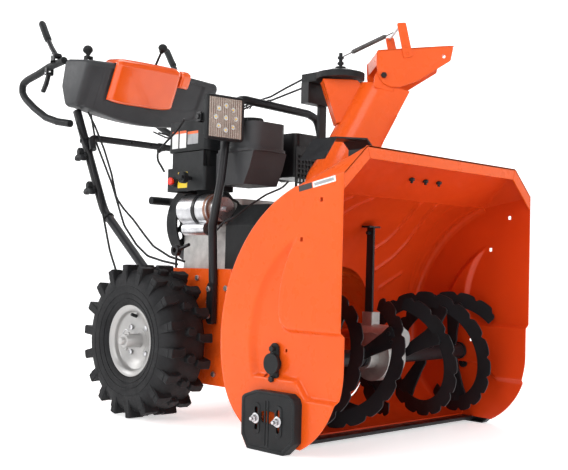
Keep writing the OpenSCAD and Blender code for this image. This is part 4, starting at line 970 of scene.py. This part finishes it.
def buildChute(spec):
    collar = lathe([(80.8, 488), (83.6, 488), (83.6, 586), (86.4, 588.2), (88.1, 588.6), (88.1, 591.4),
                    (87.4, 592),
                    (80.8, 592)], (0, 0, 0), "z", 96, closed=True)
    bead = lathe([(83.4, 500), (85, 502), (85, 506), (83.4, 508)], (0, 0, 0), "z", 96, closed=True)
    sides = []
    for s in (-1, 1):
        sides.append(plate(roundedOutline(spec["gusset"], 3), s * 28 - 1.25, s * 28 + 1.25, "y", 0.6))
        sides.append(plate(roundedOutline(spec["ear"], 4), s * 69 - 1.8, s * 69 + 1.8, "y", 0.6))
    top = block(-46, 30, -29, 29, 844, 846.4, 0.6)
    backPlate = sweep([(-44.4, 0, 845), (-9, 0, 738.4)], [(-29, -1.2), (29, -1.2), (29, 1.2), (-29, 1.2)],
                      (0, 1, 0))
    piece("chute_channel", inChute(chuteChannel(spec)), "orange_paint", "chute", ("chute",), sharp=40)
    piece("chute_collar", inChute(joined(collar, bead)), "orange_paint", "chute", sharp=40)
    piece("chute_gusset", inChute(joined(*sides, top, backPlate)), "orange_paint", "chute", sharp=40)
    hx, hz = spec["hinge"]
    pins = []
    for s in (-1, 1):
        pins.append(disc(4, s * 70, s * 82.8, (hx, 0, hz), "y", 24, 0.6))
        pins.append(disc(7.5, s * 77.2, s * 82.9, (hx, 0, hz), "y", 6, 1.2))
    piece("chute_pins", inChute(joined(*pins)), "black_paint", "chute", sharp=35)
    seam = [block(-44 + 22 * k, -40 + 22 * k, s * 28 - 2.2, s * 28 + 2.2, 842.4, 844.4, 0.4)
            for k in range(4) for s in (-1, 1)]
    piece("gusset_welds", inChute(joined(*seam)), "orange_paint", "chute")


deflector = {"cheek": [(77, 911), (265, 930), (258, 892), (177, 839), (135, 823), (112, 823), (95, 831),
                       (84, 847),
                       (78, 870)],
             "strap": [(143, 893), (165, 898), (146, 980), (124, 978)], "inner": 73, "sheet": 2.5,
             "tipHole": (241, 902), "crossbar": (135, 975), "hinge": (95, 850)}


def buildDeflector(spec):
    a, b = spec["inner"], spec["inner"] + spec["sheet"]
    cheek = plate(roundedOutline(spec["cheek"], 7), a, b, "y", 0.5)
    edge = roundRoute([(80.5, 0, 881), (78.4, 0, 909.6), (86, 0, 911.2), (264.4, 0, 929.2)], 6, 6)
    roofOutline = np.concatenate([edge, edge[::-1] + [1.2, 0, -2.2]])
    roof = []
    for y in (-b, -b + 0.5, b - 0.5, b):
        ring = roofOutline.copy()
        ring[:, 1] = y
        roof.append(ring)
    ribs = [block(100 + 26 * k, 102 + 26 * k, -a, a, 905.4 + 2.6 * k, 910.4 + 2.6 * k, 0.4) for k in range(5)]
    obj = piece("deflector_hood",
                inChute(joined(bothCheeks(cheek), shell(np.array(roof), closeV=True, caps=True))),
                "orange_paint", "deflector", ("deflector",), sharp=35)
    hx, hz = spec["hinge"]
    tx, tz = spec["tipHole"]
    carve(obj, inChute(joined(disc(4.2, -90, 90, (hx, 0, hz), "y", 24),
                              disc(4.5, -90, 90, (tx, 0, tz), "y", 24))))
    piece("deflector_ribs", inChute(joined(*ribs)), "deep_orange_paint", "deflector")
    strap = plate(roundedOutline(spec["strap"], 4), b, b + 3, "y", 0.5)
    rivets = [disc(3.6, b + 2.9, b + 5, (x, 0, z), "y", 20, 1) for x, z in ((151, 905), (147, 922))]
    piece("deflector_straps", inChute(bothCheeks(joined(strap, *rivets))), "orange_paint", "deflector",
          sharp=35)
    cx, cz = spec["crossbar"]
    piece("deflector_crossbar", inChute(disc(3, -b - 2.9, b + 2.9, (cx, 0, cz), "y", 20, 0.8)), "zinc",
          "deflector")


spring = {"from": (6.6, 0, 909), "to": (130, 0, 974), "radius": 4.5, "wire": 1.45, "turns": 30, "hooks": 0.16}


def buildSpring(spec):
    # the wire runs straight, winds round the line between its ends, and runs straight again
    start, end = np.array(spec["from"], float), np.array(spec["to"], float)
    along = (end - start) / np.linalg.norm(end - start)
    side = np.array([0.0, 1.0, 0.0])
    up = np.cross(along, side)
    length = np.linalg.norm(end - start)
    u = np.linspace(0, 1, spec["turns"] * 14)
    angle = 2 * np.pi * spec["turns"] * u
    reach = spec["radius"] * np.minimum(1, np.minimum(u, 1 - u) * 30)
    place = length * (spec["hooks"] + (0.86 - spec["hooks"]) * u)
    round_ = side * np.cos(angle)[:, None] + up * np.sin(angle)[:, None]
    coil = start + along * place[:, None] + reach[:, None] * round_
    path = np.concatenate([[start, start + along * length * 0.08], coil,
                           [start + along * length * 0.93, end]])
    obj = piece("deflector_spring_wire", inChute(sweep(path, circle(spec["wire"], 8), (0, 1, 0))),
                "gunmetal", None,
                ("deflector_spring",))
    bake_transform(obj)


buildChute(chute)
buildDeflector(deflector)
buildSpring(spring)
print("chute")

# tubes: lamp bar, handles, loops and levers

tubes = {
    "lampBar": ([(-203.3, -160, 240), (-203.3, -160, 345), (-203.3, -152, 484), (-178, -150, 600),
                 (-166, -150, 700),
                 (-158, -148, 770), (-119, -146, 813), (132, -146, 806), (168, -146, 795), (182, -148, 747),
                 (178, -150, 620), (203.3, -152, 484), (203.3, -160, 345), (203.3, -160, 240)], 10.95, 45),
    "lower": ([(207, 84, 340), (207, 325, 530), (207, 346, 566)], 12.45, 90),
    "upper": ([(207, 346, 566.3), (207, 470, 800), (207, 487, 832)], 12.45, 20),
    "cross": ([(-204, 398, 712), (-200, 417, 748), (200, 417, 748), (204, 398, 712)], 9.95, 14),
    "loop": ([(240, 513, 984), (240, 602, 975), (240, 665, 962), (240, 728, 952), (240, 760, 942),
              (240, 760, 914),
              (240, 738, 893), (240, 682, 858), (240, 610, 822), (240, 543, 803), (233, 480, 792)], 10.9, 40),
    "leverArm": ([(240, 562, 1006), (240, 590, 1034), (240, 622, 1074), (240, 655, 1122)], 7.4, 30),
    "leverGrip": ([(240, 606, 1054), (240, 622, 1074), (240, 656, 1123.6)], 10.9, 20)}


lamp = {"centre": (-215, -200, 745), "turn": -6, "half": 55, "window": 48.8, "ridges": 15}


def inLamp(part):
    return placed(part, lamp)


def steelTube(name, n=28):
    points, radius, bend = tubes[name]
    return tube(points, radius, bend, n)


def buildTubes():
    arms = [plate(rectangle(12, 34, -12, 12, 3), x, x + 4, "x", 0.5) for x in (-62, 58)]
    nuts = [hexNut(12, x, x + 4, 21, 0) for x in (-66, 62)]
    lampArms = inLamp(joined(*arms, block(-62, 62, 30, 34, -12, 12, 0.6), *nuts))
    flats = bothSides(plate(rectangle(-172, -148, 238, 342, 10), 201, 214, "x", 2))
    piece("lamp_bar_tube", joined(steelTube("lampBar", 32), block(-176, -158, -170, -148, 734, 752, 1)),
          "black_paint",
          "machine", ("light_bar",), sharp=40)
    piece("lamp_bracket", lampArms, "black_paint", "machine", sharp=40)
    piece("lamp_bar_flats", flats, "black_paint", "machine", sharp=40)
    foot = block(192.2, 207, 62, 96, 336, 366, 2)
    piece("lower_handle_tubes", bothSides(joined(steelTube("lower"), foot)), "black_paint", "machine",
          ("lower_handles",), sharp=40)
    piece("upper_handle_tubes", bothSides(steelTube("upper")), "black_paint", "machine", ("upper_handles",),
          sharp=40)
    band = tube([(44, 417, 748), (66, 417, 748)], 12.2, 0, 28, (0, 0, 1))
    bolt = disc(4, 734, 741, (55, 417, 0), "z", 6, 0.8)
    cross = piece("handle_crossbar_tube", joined(steelTube("cross")), "black_paint", "machine",
                  ("handle_crossbar",),
                  sharp=40)
    carve(cross, joined(*[disc(4, 395, 430, (x, 0, 748), "y", 20) for x in (-64, 8)]))
    piece("crossbar_clamp", joined(band, bolt), "black_plastic", "machine", sharp=40)


def knobWing(y, z):
    # three round lobes about a hub: radius swells and shrinks three times round
    turn = np.linspace(0, 2 * np.pi, 73)[:-1]
    radius = 15.5 + 8 * np.cos(3 * turn)
    rows = []
    for x, scale in ((229.4, 0.86), (231, 0.97), (234, 1), (240, 1), (243.5, 0.95), (245.4, 0.84)):
        rows.append(np.stack([np.full(72, x), y + scale * radius * np.sin(turn),
                              z + scale * radius * np.cos(turn)], -1))
    body = shell(np.array(rows), closeV=True, caps=True)
    hub = lathe([(5, 219.9), (12, 219.9), (13, 221), (13, 229), (11, 231), (5, 231)], (0, y, z), "x", 32,
                closed=True)
    return joined(body, hub)


def buildLoops():
    loop = steelTube("loop", 32)
    cheek = roundedOutline([(550, 980), (570, 980), (570, 1004), (564, 1012), (556, 1012), (550, 1004)], 3)
    sides = [plate(cheek, x, x + 5, "x", 0.6) for x in (226, 249)]
    base = block(226, 254, 550, 570, 980, 989, 1)
    pins = [disc(3, 224.5, 255.5, (0, 560, 1004), "x", 20, 0.6),
            disc(2.5, 226.5, 253.5, (0, 600, 955), "x", 20, 0.5)]
    ears = [block(x, x + 4, 594, 606, 950, 972, 0.8) for x in (228, 248)]
    piece("loop_tubes", bothSides(loop), "black_plastic", "machine", ("loop_handles",), sharp=40)
    piece("loop_brackets", bothSides(joined(*sides, base, *ears)), "black_paint", "machine", sharp=40)
    piece("loop_pins", bothSides(joined(*pins)), "zinc", "machine", sharp=40)
    rod = steelTube("leverArm", 24)
    handle = grip(*tubes["leverGrip"][:2])
    boss = lathe([(3.3, 232.2), (8, 232.2), (8.5, 233), (8.5, 247), (8, 247.8), (3.3, 247.8)],
                 (0, 560, 1004), "x", 32,
                 closed=True)
    finger = plate(roundedOutline([(595.6, 957), (604.4, 957), (620, 930), (638, 904), (630, 900),
                                   (610, 922)], 2.5),
                   234.2, 245.8, "x", 1.4)
    eye = lathe([(2.8, 233.2), (4.6, 233.2), (5, 233.8), (5, 246.2), (4.6, 246.8), (2.8, 246.8)],
                (0, 600, 955), "x", 28,
                closed=True)
    for flip, lever, trigger, node in ((same, "drive_lever", "left_trigger", "trigger_left"),
                                       (mirrored, "auger_lever", "right_trigger", "trigger_right")):
        piece(lever + "_rod", flip(joined(rod, boss)), "black_paint", lever, (lever,), sharp=40)
        piece(lever + "_grip", flip(handle), "black_plastic", lever, sharp=40)
        piece(trigger + "_finger", flip(joined(finger, eye)), "black_plastic", trigger, (node,), sharp=40)
    knobs = [knobWing(y, z) for y, z in ((360, 592), (413, 692))]
    piece("wing_knob_lobes", bothSides(joined(*knobs)), "black_plastic", "machine", ("wing_knobs",), sharp=40)


def knobProfile(radius, neck):
    # a pear: a half ball above, narrowing by a cosine to the neck below
    foot = -radius * 0.95
    lower = [(neck + (radius - neck) * 0.5 * (1 + math.cos(math.pi * t)),
              foot * t) for t in np.linspace(1, 0, 14)]
    upper = [(max(radius * math.cos(a), 0.01),
              radius * 0.98 * math.sin(a)) for a in np.linspace(0.1, math.pi / 2, 14)]
    return [(0.01, foot)] + lower + upper


def buildGateLevers():
    for x, y, z, node in ((38, 402, 1052, "speed_lever"), (-200, 450, 1012, "deflector_lever")):
        start = np.array([x, 446, 993.0])
        end = np.array([x, y, z])
        boss = lathe([(2.1, -6.4), (5, -6.4), (5.5, -5.8), (5.5, 5.8), (5, 6.4), (2.1, 6.4)], (x, 446, 990),
                     "x", 28,
                     closed=True)
        pin = disc(2, x - 10, x + 10, (0, 446, 990), "x", 20, 0.5)
        stick = tube([start, start + (end - start) * 0.5, end], 3.5, 5, 20)
        ball = lathe(knobProfile(14.9, 6.5), (0, 0, 0), "z", 48)
        along = Vector(end - start).normalized()
        spin = Vector((0, 0, 1)).rotation_difference(along).to_matrix()
        ball = ball[0] @ np.array(spin).T + end, ball[1]
        piece(node + "_stick", joined(boss, pin, stick), "black_paint", node, (node,), sharp=40)
        piece(node + "_knob", ball, "black_plastic", node, sharp=40)


buildTubes()
buildLoops()
buildGateLevers()
print("tubes and levers")


# console and its cover

console = {"half": 245, "centre": (455, 915)}


def swell(x):
    return np.maximum(0, 1 - (np.asarray(x, float) / 215) ** 2)


def consoleEdge(x):  # corners of the section in (y, z): front top, back top, back, back foot, front foot
    k = float(swell(x))
    return [(366 - 12 * k, 967 + 4 * k), (503, 988), (523, 906), (500, 842 - 24 * k),
            (435 - 8 * k, 843 - 36 * k)]


def consoleShell(spec):
    # sections across the width, closing at both ends; the front face carries a stepped field:
    # depth of the field grows over short ramps, its foot line rises and falls along the width
    half = spec["half"]
    x = np.unique(np.concatenate([np.linspace(-half, -half + 26, 20), np.linspace(-half + 26, half - 26, 180),
                                  np.linspace(half - 26, half, 20)]))
    n = 40
    rows = []
    for place in x:
        edge = np.array([(0, y, z) for y, z in consoleEdge(place)])
        loop = np.concatenate([(edge[4:] + edge[:1]) / 2, edge, (edge[4:] + edge[:1]) / 2])
        ring = roundRoute(loop, 13, 7)[:-1, 1:]
        fine = np.concatenate([np.linspace(ring[0], ring[1], n)[:-1], ring[1:-1],
                               np.linspace(ring[-1], ring[0], n)[:-1]])
        gap = np.clip(half - abs(place), 0, 20)
        close = 1 - 0.16 * (1 - np.sqrt(1 - (1 - gap / 20) ** 2))
        fine = np.array(spec["centre"]) + (fine - spec["centre"]) * close
        along = fine[:, 1]
        front = np.zeros(len(fine), bool)
        front[:n - 1] = True
        front[-(n - 1):] = True
        low, high = edge[4][2], edge[0][2]
        share = (along - low) / (high - low)
        inField = smoothStep(place, -168, -158) * (1 - smoothStep(place, 176, 190))
        ledge = 0.20 + 0.12 * math.sin((place + 168) / 300 * math.pi * 1.5) * inField
        below = inField * (1 - smoothStep(share, 0.93, 0.97))
        field = below * smoothStep(share, ledge, ledge + 0.05)
        second = below * smoothStep(share, ledge + 0.20, ledge + 0.26)
        seam = math.exp(-((place + 186) / 1.6) ** 2)
        depth = (3.4 * field + 2.6 * second + 1.3 * seam) * front
        inward = np.array([1.0, 0.55]) / math.hypot(1, 0.55)
        fine = fine + depth[:, None] * inward
        rows.append(np.column_stack([np.full(len(fine), place), fine]))
    return shell(np.array(rows), closeV=True, caps=True)


# the strip's section, below the edge on the front and behind it on the top
def coverRing(x, drop, back, height):
    e = np.array(consoleEdge(x))
    a, down, behind = e[0], e[4] - e[0], e[1] - e[0]
    down, behind = down / np.linalg.norm(down), behind / np.linalg.norm(behind)
    front, top = np.array([down[1], -down[0]]), np.array([-behind[1], behind[0]])
    points = [a + down * drop + front * 0.3, a + down * (drop - 1.5) + front * (height * 0.45),
              a + down * (drop - 9) + front * height, a + down * 3 + front * height,
              a + front * height * 0.62 + top * height * 0.62, a + behind * 3 + top * height,
              a + behind * (back - 6) + top * height, a + behind * back + top * 0.3]
    ring = roundRoute([(0, *p) for p in points], 3.5, 4)[:, 1:]
    return np.concatenate([ring, [a + front * 0.3 + top * 0.3]])


def coverStrip(x, drop, back, height):
    rings = [coverRing(place, below, back, tall) for place, below, tall in zip(x, drop, height)]
    points = np.array([np.column_stack([np.full(len(ring), place), ring]) for place, ring in zip(x, rings)])
    return shell(points, closeV=True, caps=True)


def buildConsole(spec):
    ears = [plate(rectangle(438, 454, 970, 994, 2.5), x + s, x + s + 4, "x",
                  0.5) for x in (38, -200) for s in (-11, 7)]
    piece("console_shell", consoleShell(spec), "grey_plastic", "machine", ("console",), sharp=45)
    held = piece("console_ears", joined(*ears), "black_plastic", "machine", sharp=40)
    carve(held, joined(*[disc(2.25, x - 14, x + 14, (0, 446, 990), "x", 24, 0.1) for x in (38, -200)]))
    # the strip sinks at both ends, and its outermost sections are lower still
    x = np.concatenate([[-158, -156.5, -153], np.linspace(-148, 62, 46), [67, 70.5, 72]])
    away = np.abs(x + 43)
    height = 8 + 6.6 * np.minimum(1, (115 - away) / 14)
    height[[0, 1, -2, -1]] *= [0.55, 0.85, 0.85, 0.55]
    drop = 122 - 9 * (away / 115) ** 4
    cover = coverStrip(x, drop, 62, height)
    piece("console_cover_shell", cover, "orange_plastic", "machine", ("console_cover",), sharp=40)
    x = np.array([76, 77, 79.5, 84, 92, 100, 106, 109.5, 111.2, 112])
    height = np.array([5, 8.5, 11, 12, 12, 12, 12, 11, 8.5, 5])
    bump = coverStrip(x, np.full(len(x), 42), 40, height)
    piece("console_bump", bump, "orange_plastic", "machine", sharp=40)


buildConsole(console)
print("console")

# lamp

def lampBody(spec):
    # an open box: rings in (x, z) at different depths, out round the rim and back down to the window
    half, window = spec["half"], spec["window"] + 0.4
    rows = []
    for r, corner, y in ((half - 1.5, 8, 8), (half, 9, 6.5), (half, 9, -6), (half - 0.8, 8, -7.4),
                         (half - 2.4, 7, -8), (window + 1.2, 5,
                                               -8), (window + 0.2, 4.4, -7), (window, 4, -3)):
        ring = roundedOutline([(-r, -r), (r, -r), (r, r), (-r, r)], corner, 8)
        rows.append(np.column_stack([ring[:, 0], np.full(len(ring), y), ring[:, 1]]))
    return shell(np.array(rows), closeV=True, caps=True)


def lensPane(spec):
    # upright ribs: the depth is a row of shallow round waves across the width
    w = spec["window"] - 0.2
    x = np.linspace(-w, w, spec["ridges"] * 16 + 1)
    wave = np.abs(np.sin((x + w) / (2 * w) * np.pi * spec["ridges"])) * 1.1
    edge = np.minimum(1, np.minimum(x + w, w - x) / 1.0)
    front = np.stack([x, -6.2 - wave * edge], -1)
    outline = np.concatenate([front, [(w, -3.2), (-w, -3.2)]])
    rows = [np.column_stack([outline, np.full(len(outline), z)]) for z in (-w, w)]
    return shell(np.array(rows), closeV=True, caps=True)


def buildLamp(spec):
    piece("lamp_body", inLamp(lampBody(spec)), "black_plastic", "lamp", ("headlamp",), sharp=35)
    half = spec["half"]
    fins = [block(-half + 8 + 11 * i, -half + 12 + 11 * i, 7.8, 25, -half + 14, half - 14,
                  0.9) for i in range(9)]
    for s in (-1, 1):
        fins.append(block(s * 50 - 4, s * 50 + 4, 7.8, 25, -10, 10, 0.9))
        fins.append(disc(4, s * 53, s * 62.8, (0, 21, 0), "x", 24, 0.6))
    plug = block(-34, -14, 25, 36, -34, -18, 2)
    piece("lamp_fins", inLamp(joined(*fins)), "black_plastic", "lamp", sharp=35)
    piece("lamp_pane", inLamp(lensPane(spec)), "lens", "lamp", ("headlamp_lens",), sharp=60)
    spots = [(0, 0)] + [(30 * math.cos(a), 30 * math.sin(a)) for a in np.radians(np.arange(0, 360, 45))]
    cups = [lathe([(0.01, -7.55), (2.4, -7.62), (5.0, -7.9), (6.0, -7.98), (6.4, -7.9), (6.4, -6.4),
                   (0.01, -6.4)],
                  (x, 0, z), "y", 32) for x, z in spots]
    chips = [disc(2.2, -7.85, -7.4, (x, 0, z), "y", 20, 0.2) for x, z in spots]
    wires = [tube([(-30 + 5 * k, 35, -26), (-32 + 5 * k, 40, -36), (-26 + 3 * k, 36, -46), (-20, 26, -40)],
                  1.3, 8, 8)
             for k in range(3)]
    piece("lamp_plug", inLamp(joined(plug, *wires)), "black_plastic", "lamp", sharp=40)
    piece("lamp_cups", inLamp(joined(*cups)), "mirror", "lamp", sharp=50)
    piece("lamp_chips", inLamp(joined(*chips)), "yellow_label", "lamp", sharp=50)


buildLamp(lamp)


# pieces whose CAD shape already holds: the same solids with rounded edges

edges = {  # node and width of its rounding in millimetres
    "belt_cover": 4, "recoil_housing": 2.6, "intake_cover": 5, "fuel_tank": 6, "muffler": 5,
    "muffler_guard": 0.5,
    "control_box": 2.4, "engine_block": 2.2, "gearbox": 2.6, "rotator_head": 1.6, "rotator_bracket": 1.8,
    "tractor_frame": 1.0, "scraper_bar": 1.0, "housing_brace": 0.8, "auger_bearings": 0.9, "frame_bolts": 0.9,
    "starter_motor": 1.6, "fuel_cap": 1.4, "choke_knob": 1.2, "recoil_handle": 2.4, "stop_button": 1.0,
    "impeller": 0.8, "impeller_drum": 0.8, "cleanout_tool": 0.8, "cable_clips": 0.6, "auger_shaft": 0.8,
    "crankshaft": 0.8, "hex_shaft": 0.8, "drive_belts": 0.8, "shift_rod": 0.8}
otherLook = {"impeller_drum": "orange_paint"}
for node, width in edges.items():
    softened(node, width, otherLook.get(node))
print("softened pieces")


# cables

cables = {
    "routes": [
        [(-180, 469, 831), (-182, 424, 782), (-184, 371, 712), (-184, 330, 640), (-184, 302, 569),
         (-184, 262, 536),
         (-184, 216, 506), (-184, 160, 462), (-184, 119, 432), (-180, 50, 404), (-176, -9, 392)],
        [(-170, 470, 826), (-172, 438, 746), (-174, 340, 610), (-176, 270, 490), (-176, 207, 435),
         (-176, 154, 405),
         (-172, 90, 392), (-166, 33, 384)],
        [(-226, 448, 776), (-229, 378, 692), (-230, 325, 590), (-230, 284, 486), (-230, 258, 419),
         (-230, 219, 354),
         (-227, 214, 330)],
        [(-176, 8, 768), (-182, 32, 738), (-186, 70, 712), (-186, 109, 687), (-186, 108, 664),
         (-184, 92, 646),
         (-176, 89, 632)],
        [(60, 440, 796), (70, 380, 780), (60, 300, 786), (40, 120, 812), (10, -60, 832), (-10, -146, 834),
         (-26, -220, 846), (-20, -272, 862)],
        [(40, 440, 796), (50, 380, 772), (45, 300, 776), (26, 120, 800), (4, -60, 822), (-4, -146, 826),
         (-14, -220, 834), (-16, -274, 842)],
        [(-228, -200, 470), (-236, -230, 488), (-226, -262, 500), (-186, -258, 526), (-120, -256, 562),
         (-72, -262, 582), (-40, -250, 600)]],
    "thick": (2.95, 2.95, 2.95, 2.95, 2.45, 2.45, 2.45)}


def buildCables(spec):
    lines = [tube(route, radius, 60, 14, steps=8) for route, radius in zip(spec["routes"], spec["thick"])]
    bulb = turned(disc(6, -5, 5, (-185, 104, 690), "z", 24, 1.6), 30, (-185, 104, 690), (1, 0, 0))
    piece("control_cable_lines", joined(*lines, bulb), "rubber", "machine", ("control_cables",), sharp=45)
    ties = []
    for y, z, tilt in ((-100, 828, 6), (-30, 824, 10), (60, 813, 12)):
        x = 20 - (y + 60) * 0.14
        ties.append(turned(lathe([(7.2, -2), (8.4, -2), (8.4, 2), (7.2, 2)], (x, y, z), "y", 24,
                                 closed=True), tilt,
                           (x, y, z), (1, 0, 0)))
    piece("cable_ties", joined(*ties), "black_plastic", "machine", sharp=40)


buildCables(cables)


# blank labels: thin panels laid on flat faces

def sidePanel(x, y0, y1, z0, z1, lift=0.35):  # on a face square to x
    return plate(rectangle(y0, y1, z0, z1, 1.5), x, x + lift)


def buildLabels():
    cover = -162.0
    white = [sidePanel(cover - 0.35, y0, y1, 694, 740) for y0, y1 in ((16, 44), (50, 76))]
    strips = [sidePanel(cover - 0.6, y0, y1, z - 7, z, 0.3) for y0, y1,
              z in ((16, 44, 740), (50, 76, 740), (-34, 10, 736))]
    piece("cover_labels", joined(*white), "white_label", "machine")
    piece("cover_notice", sidePanel(cover - 0.35, -34, 10, 702, 736), "grey_label", "machine")
    piece("cover_label_strips", joined(*strips), "orange_label", "machine")
    piece("switch_label", sidePanel(-172.35, -6, 34, 586, 628), "yellow_label", "machine")
    wall = housing["outer"]
    a, b = np.array([-wall, -590.0, 553.2]), np.array([-wall, -706.0, 572.9])
    down = np.array([0, -0.168, -0.986])

    def strip(start, end, top, bottom, lift):
        along = b - a
        corner = [a + along * start + down * top, a + along * end + down * top,
                  a + along * end + down * bottom,
                  a + along * start + down * bottom]
        return shell(np.array([corner, np.array(corner) - [lift, 0, 0]]), closeV=True, caps=True)
    piece("edge_label_black", strip(0.02, 0.34, 3, 15, 0.3), "black_label", "machine")
    piece("edge_label_white", strip(0.36, 0.90, 3, 15, 0.3), "white_label", "machine")
    piece("edge_label_grey", strip(0.40, 0.86, 6, 12, 0.45), "grey_label", "machine")


def buildEngineTrim():
    lead = tube([(-120, -86, 590), (-132, -100, 566), (-118, -122, 556), (-96, -124, 548), (-84, -112, 540)],
                3.4, 14, 14)
    boot = grip([(-86, -113, 541), (-70, -108, 536)], 6.4)
    filler = tube([(-60, -112, 440), (-74, -124, 476), (-80, -122, 520)], 7, 24, 20)
    cap = lathe([(0.01, 518), (9.6, 518), (11, 520), (11, 532), (9.6, 534), (0.01, 534)], (-80, -122, 0),
                "z", 32)
    strapBand = lathe([(40.8, -50), (43, -50), (43, -38), (40.8, -38)], (-142, 0, 528), "y", 64, closed=True)
    endCap = lathe([(0.01, -97.2), (26, -97.2), (34, -96.8), (40.2, -95.6), (41.2, -94), (41.2, -84),
                    (40.6, -83.4),
                    (0.01, -83.4)], (-142, 0, 528), "y", 64)
    arm = plate(roundedOutline([(-90, 486), (-90, 552), (-128, 572), (-150, 572), (-150, 564), (-130, 562),
                                (-102, 546),
                                (-102, 486)], 4), -58, -54, "y", 0.6)
    vents = [plate(rectangle(y, y + 6, 648, 674, 2.8), -156.2, -154.6, "x", 0.5) for y in range(-56, 65, 15)]
    piece("engine_leads", joined(lead, boot, filler), "rubber", "machine", sharp=40)
    piece("oil_cap", cap, "black_plastic", "machine", sharp=40)
    piece("starter_band", strapBand, "black_paint", "machine", sharp=40)
    piece("starter_end", endCap, "bronze", "machine", sharp=40)
    piece("starter_arm", arm, "black_paint", "machine", sharp=40)
    piece("cover_vents", joined(*vents), "black_plastic", "machine", sharp=40)


buildLabels()
buildEngineTrim()
print("labels")
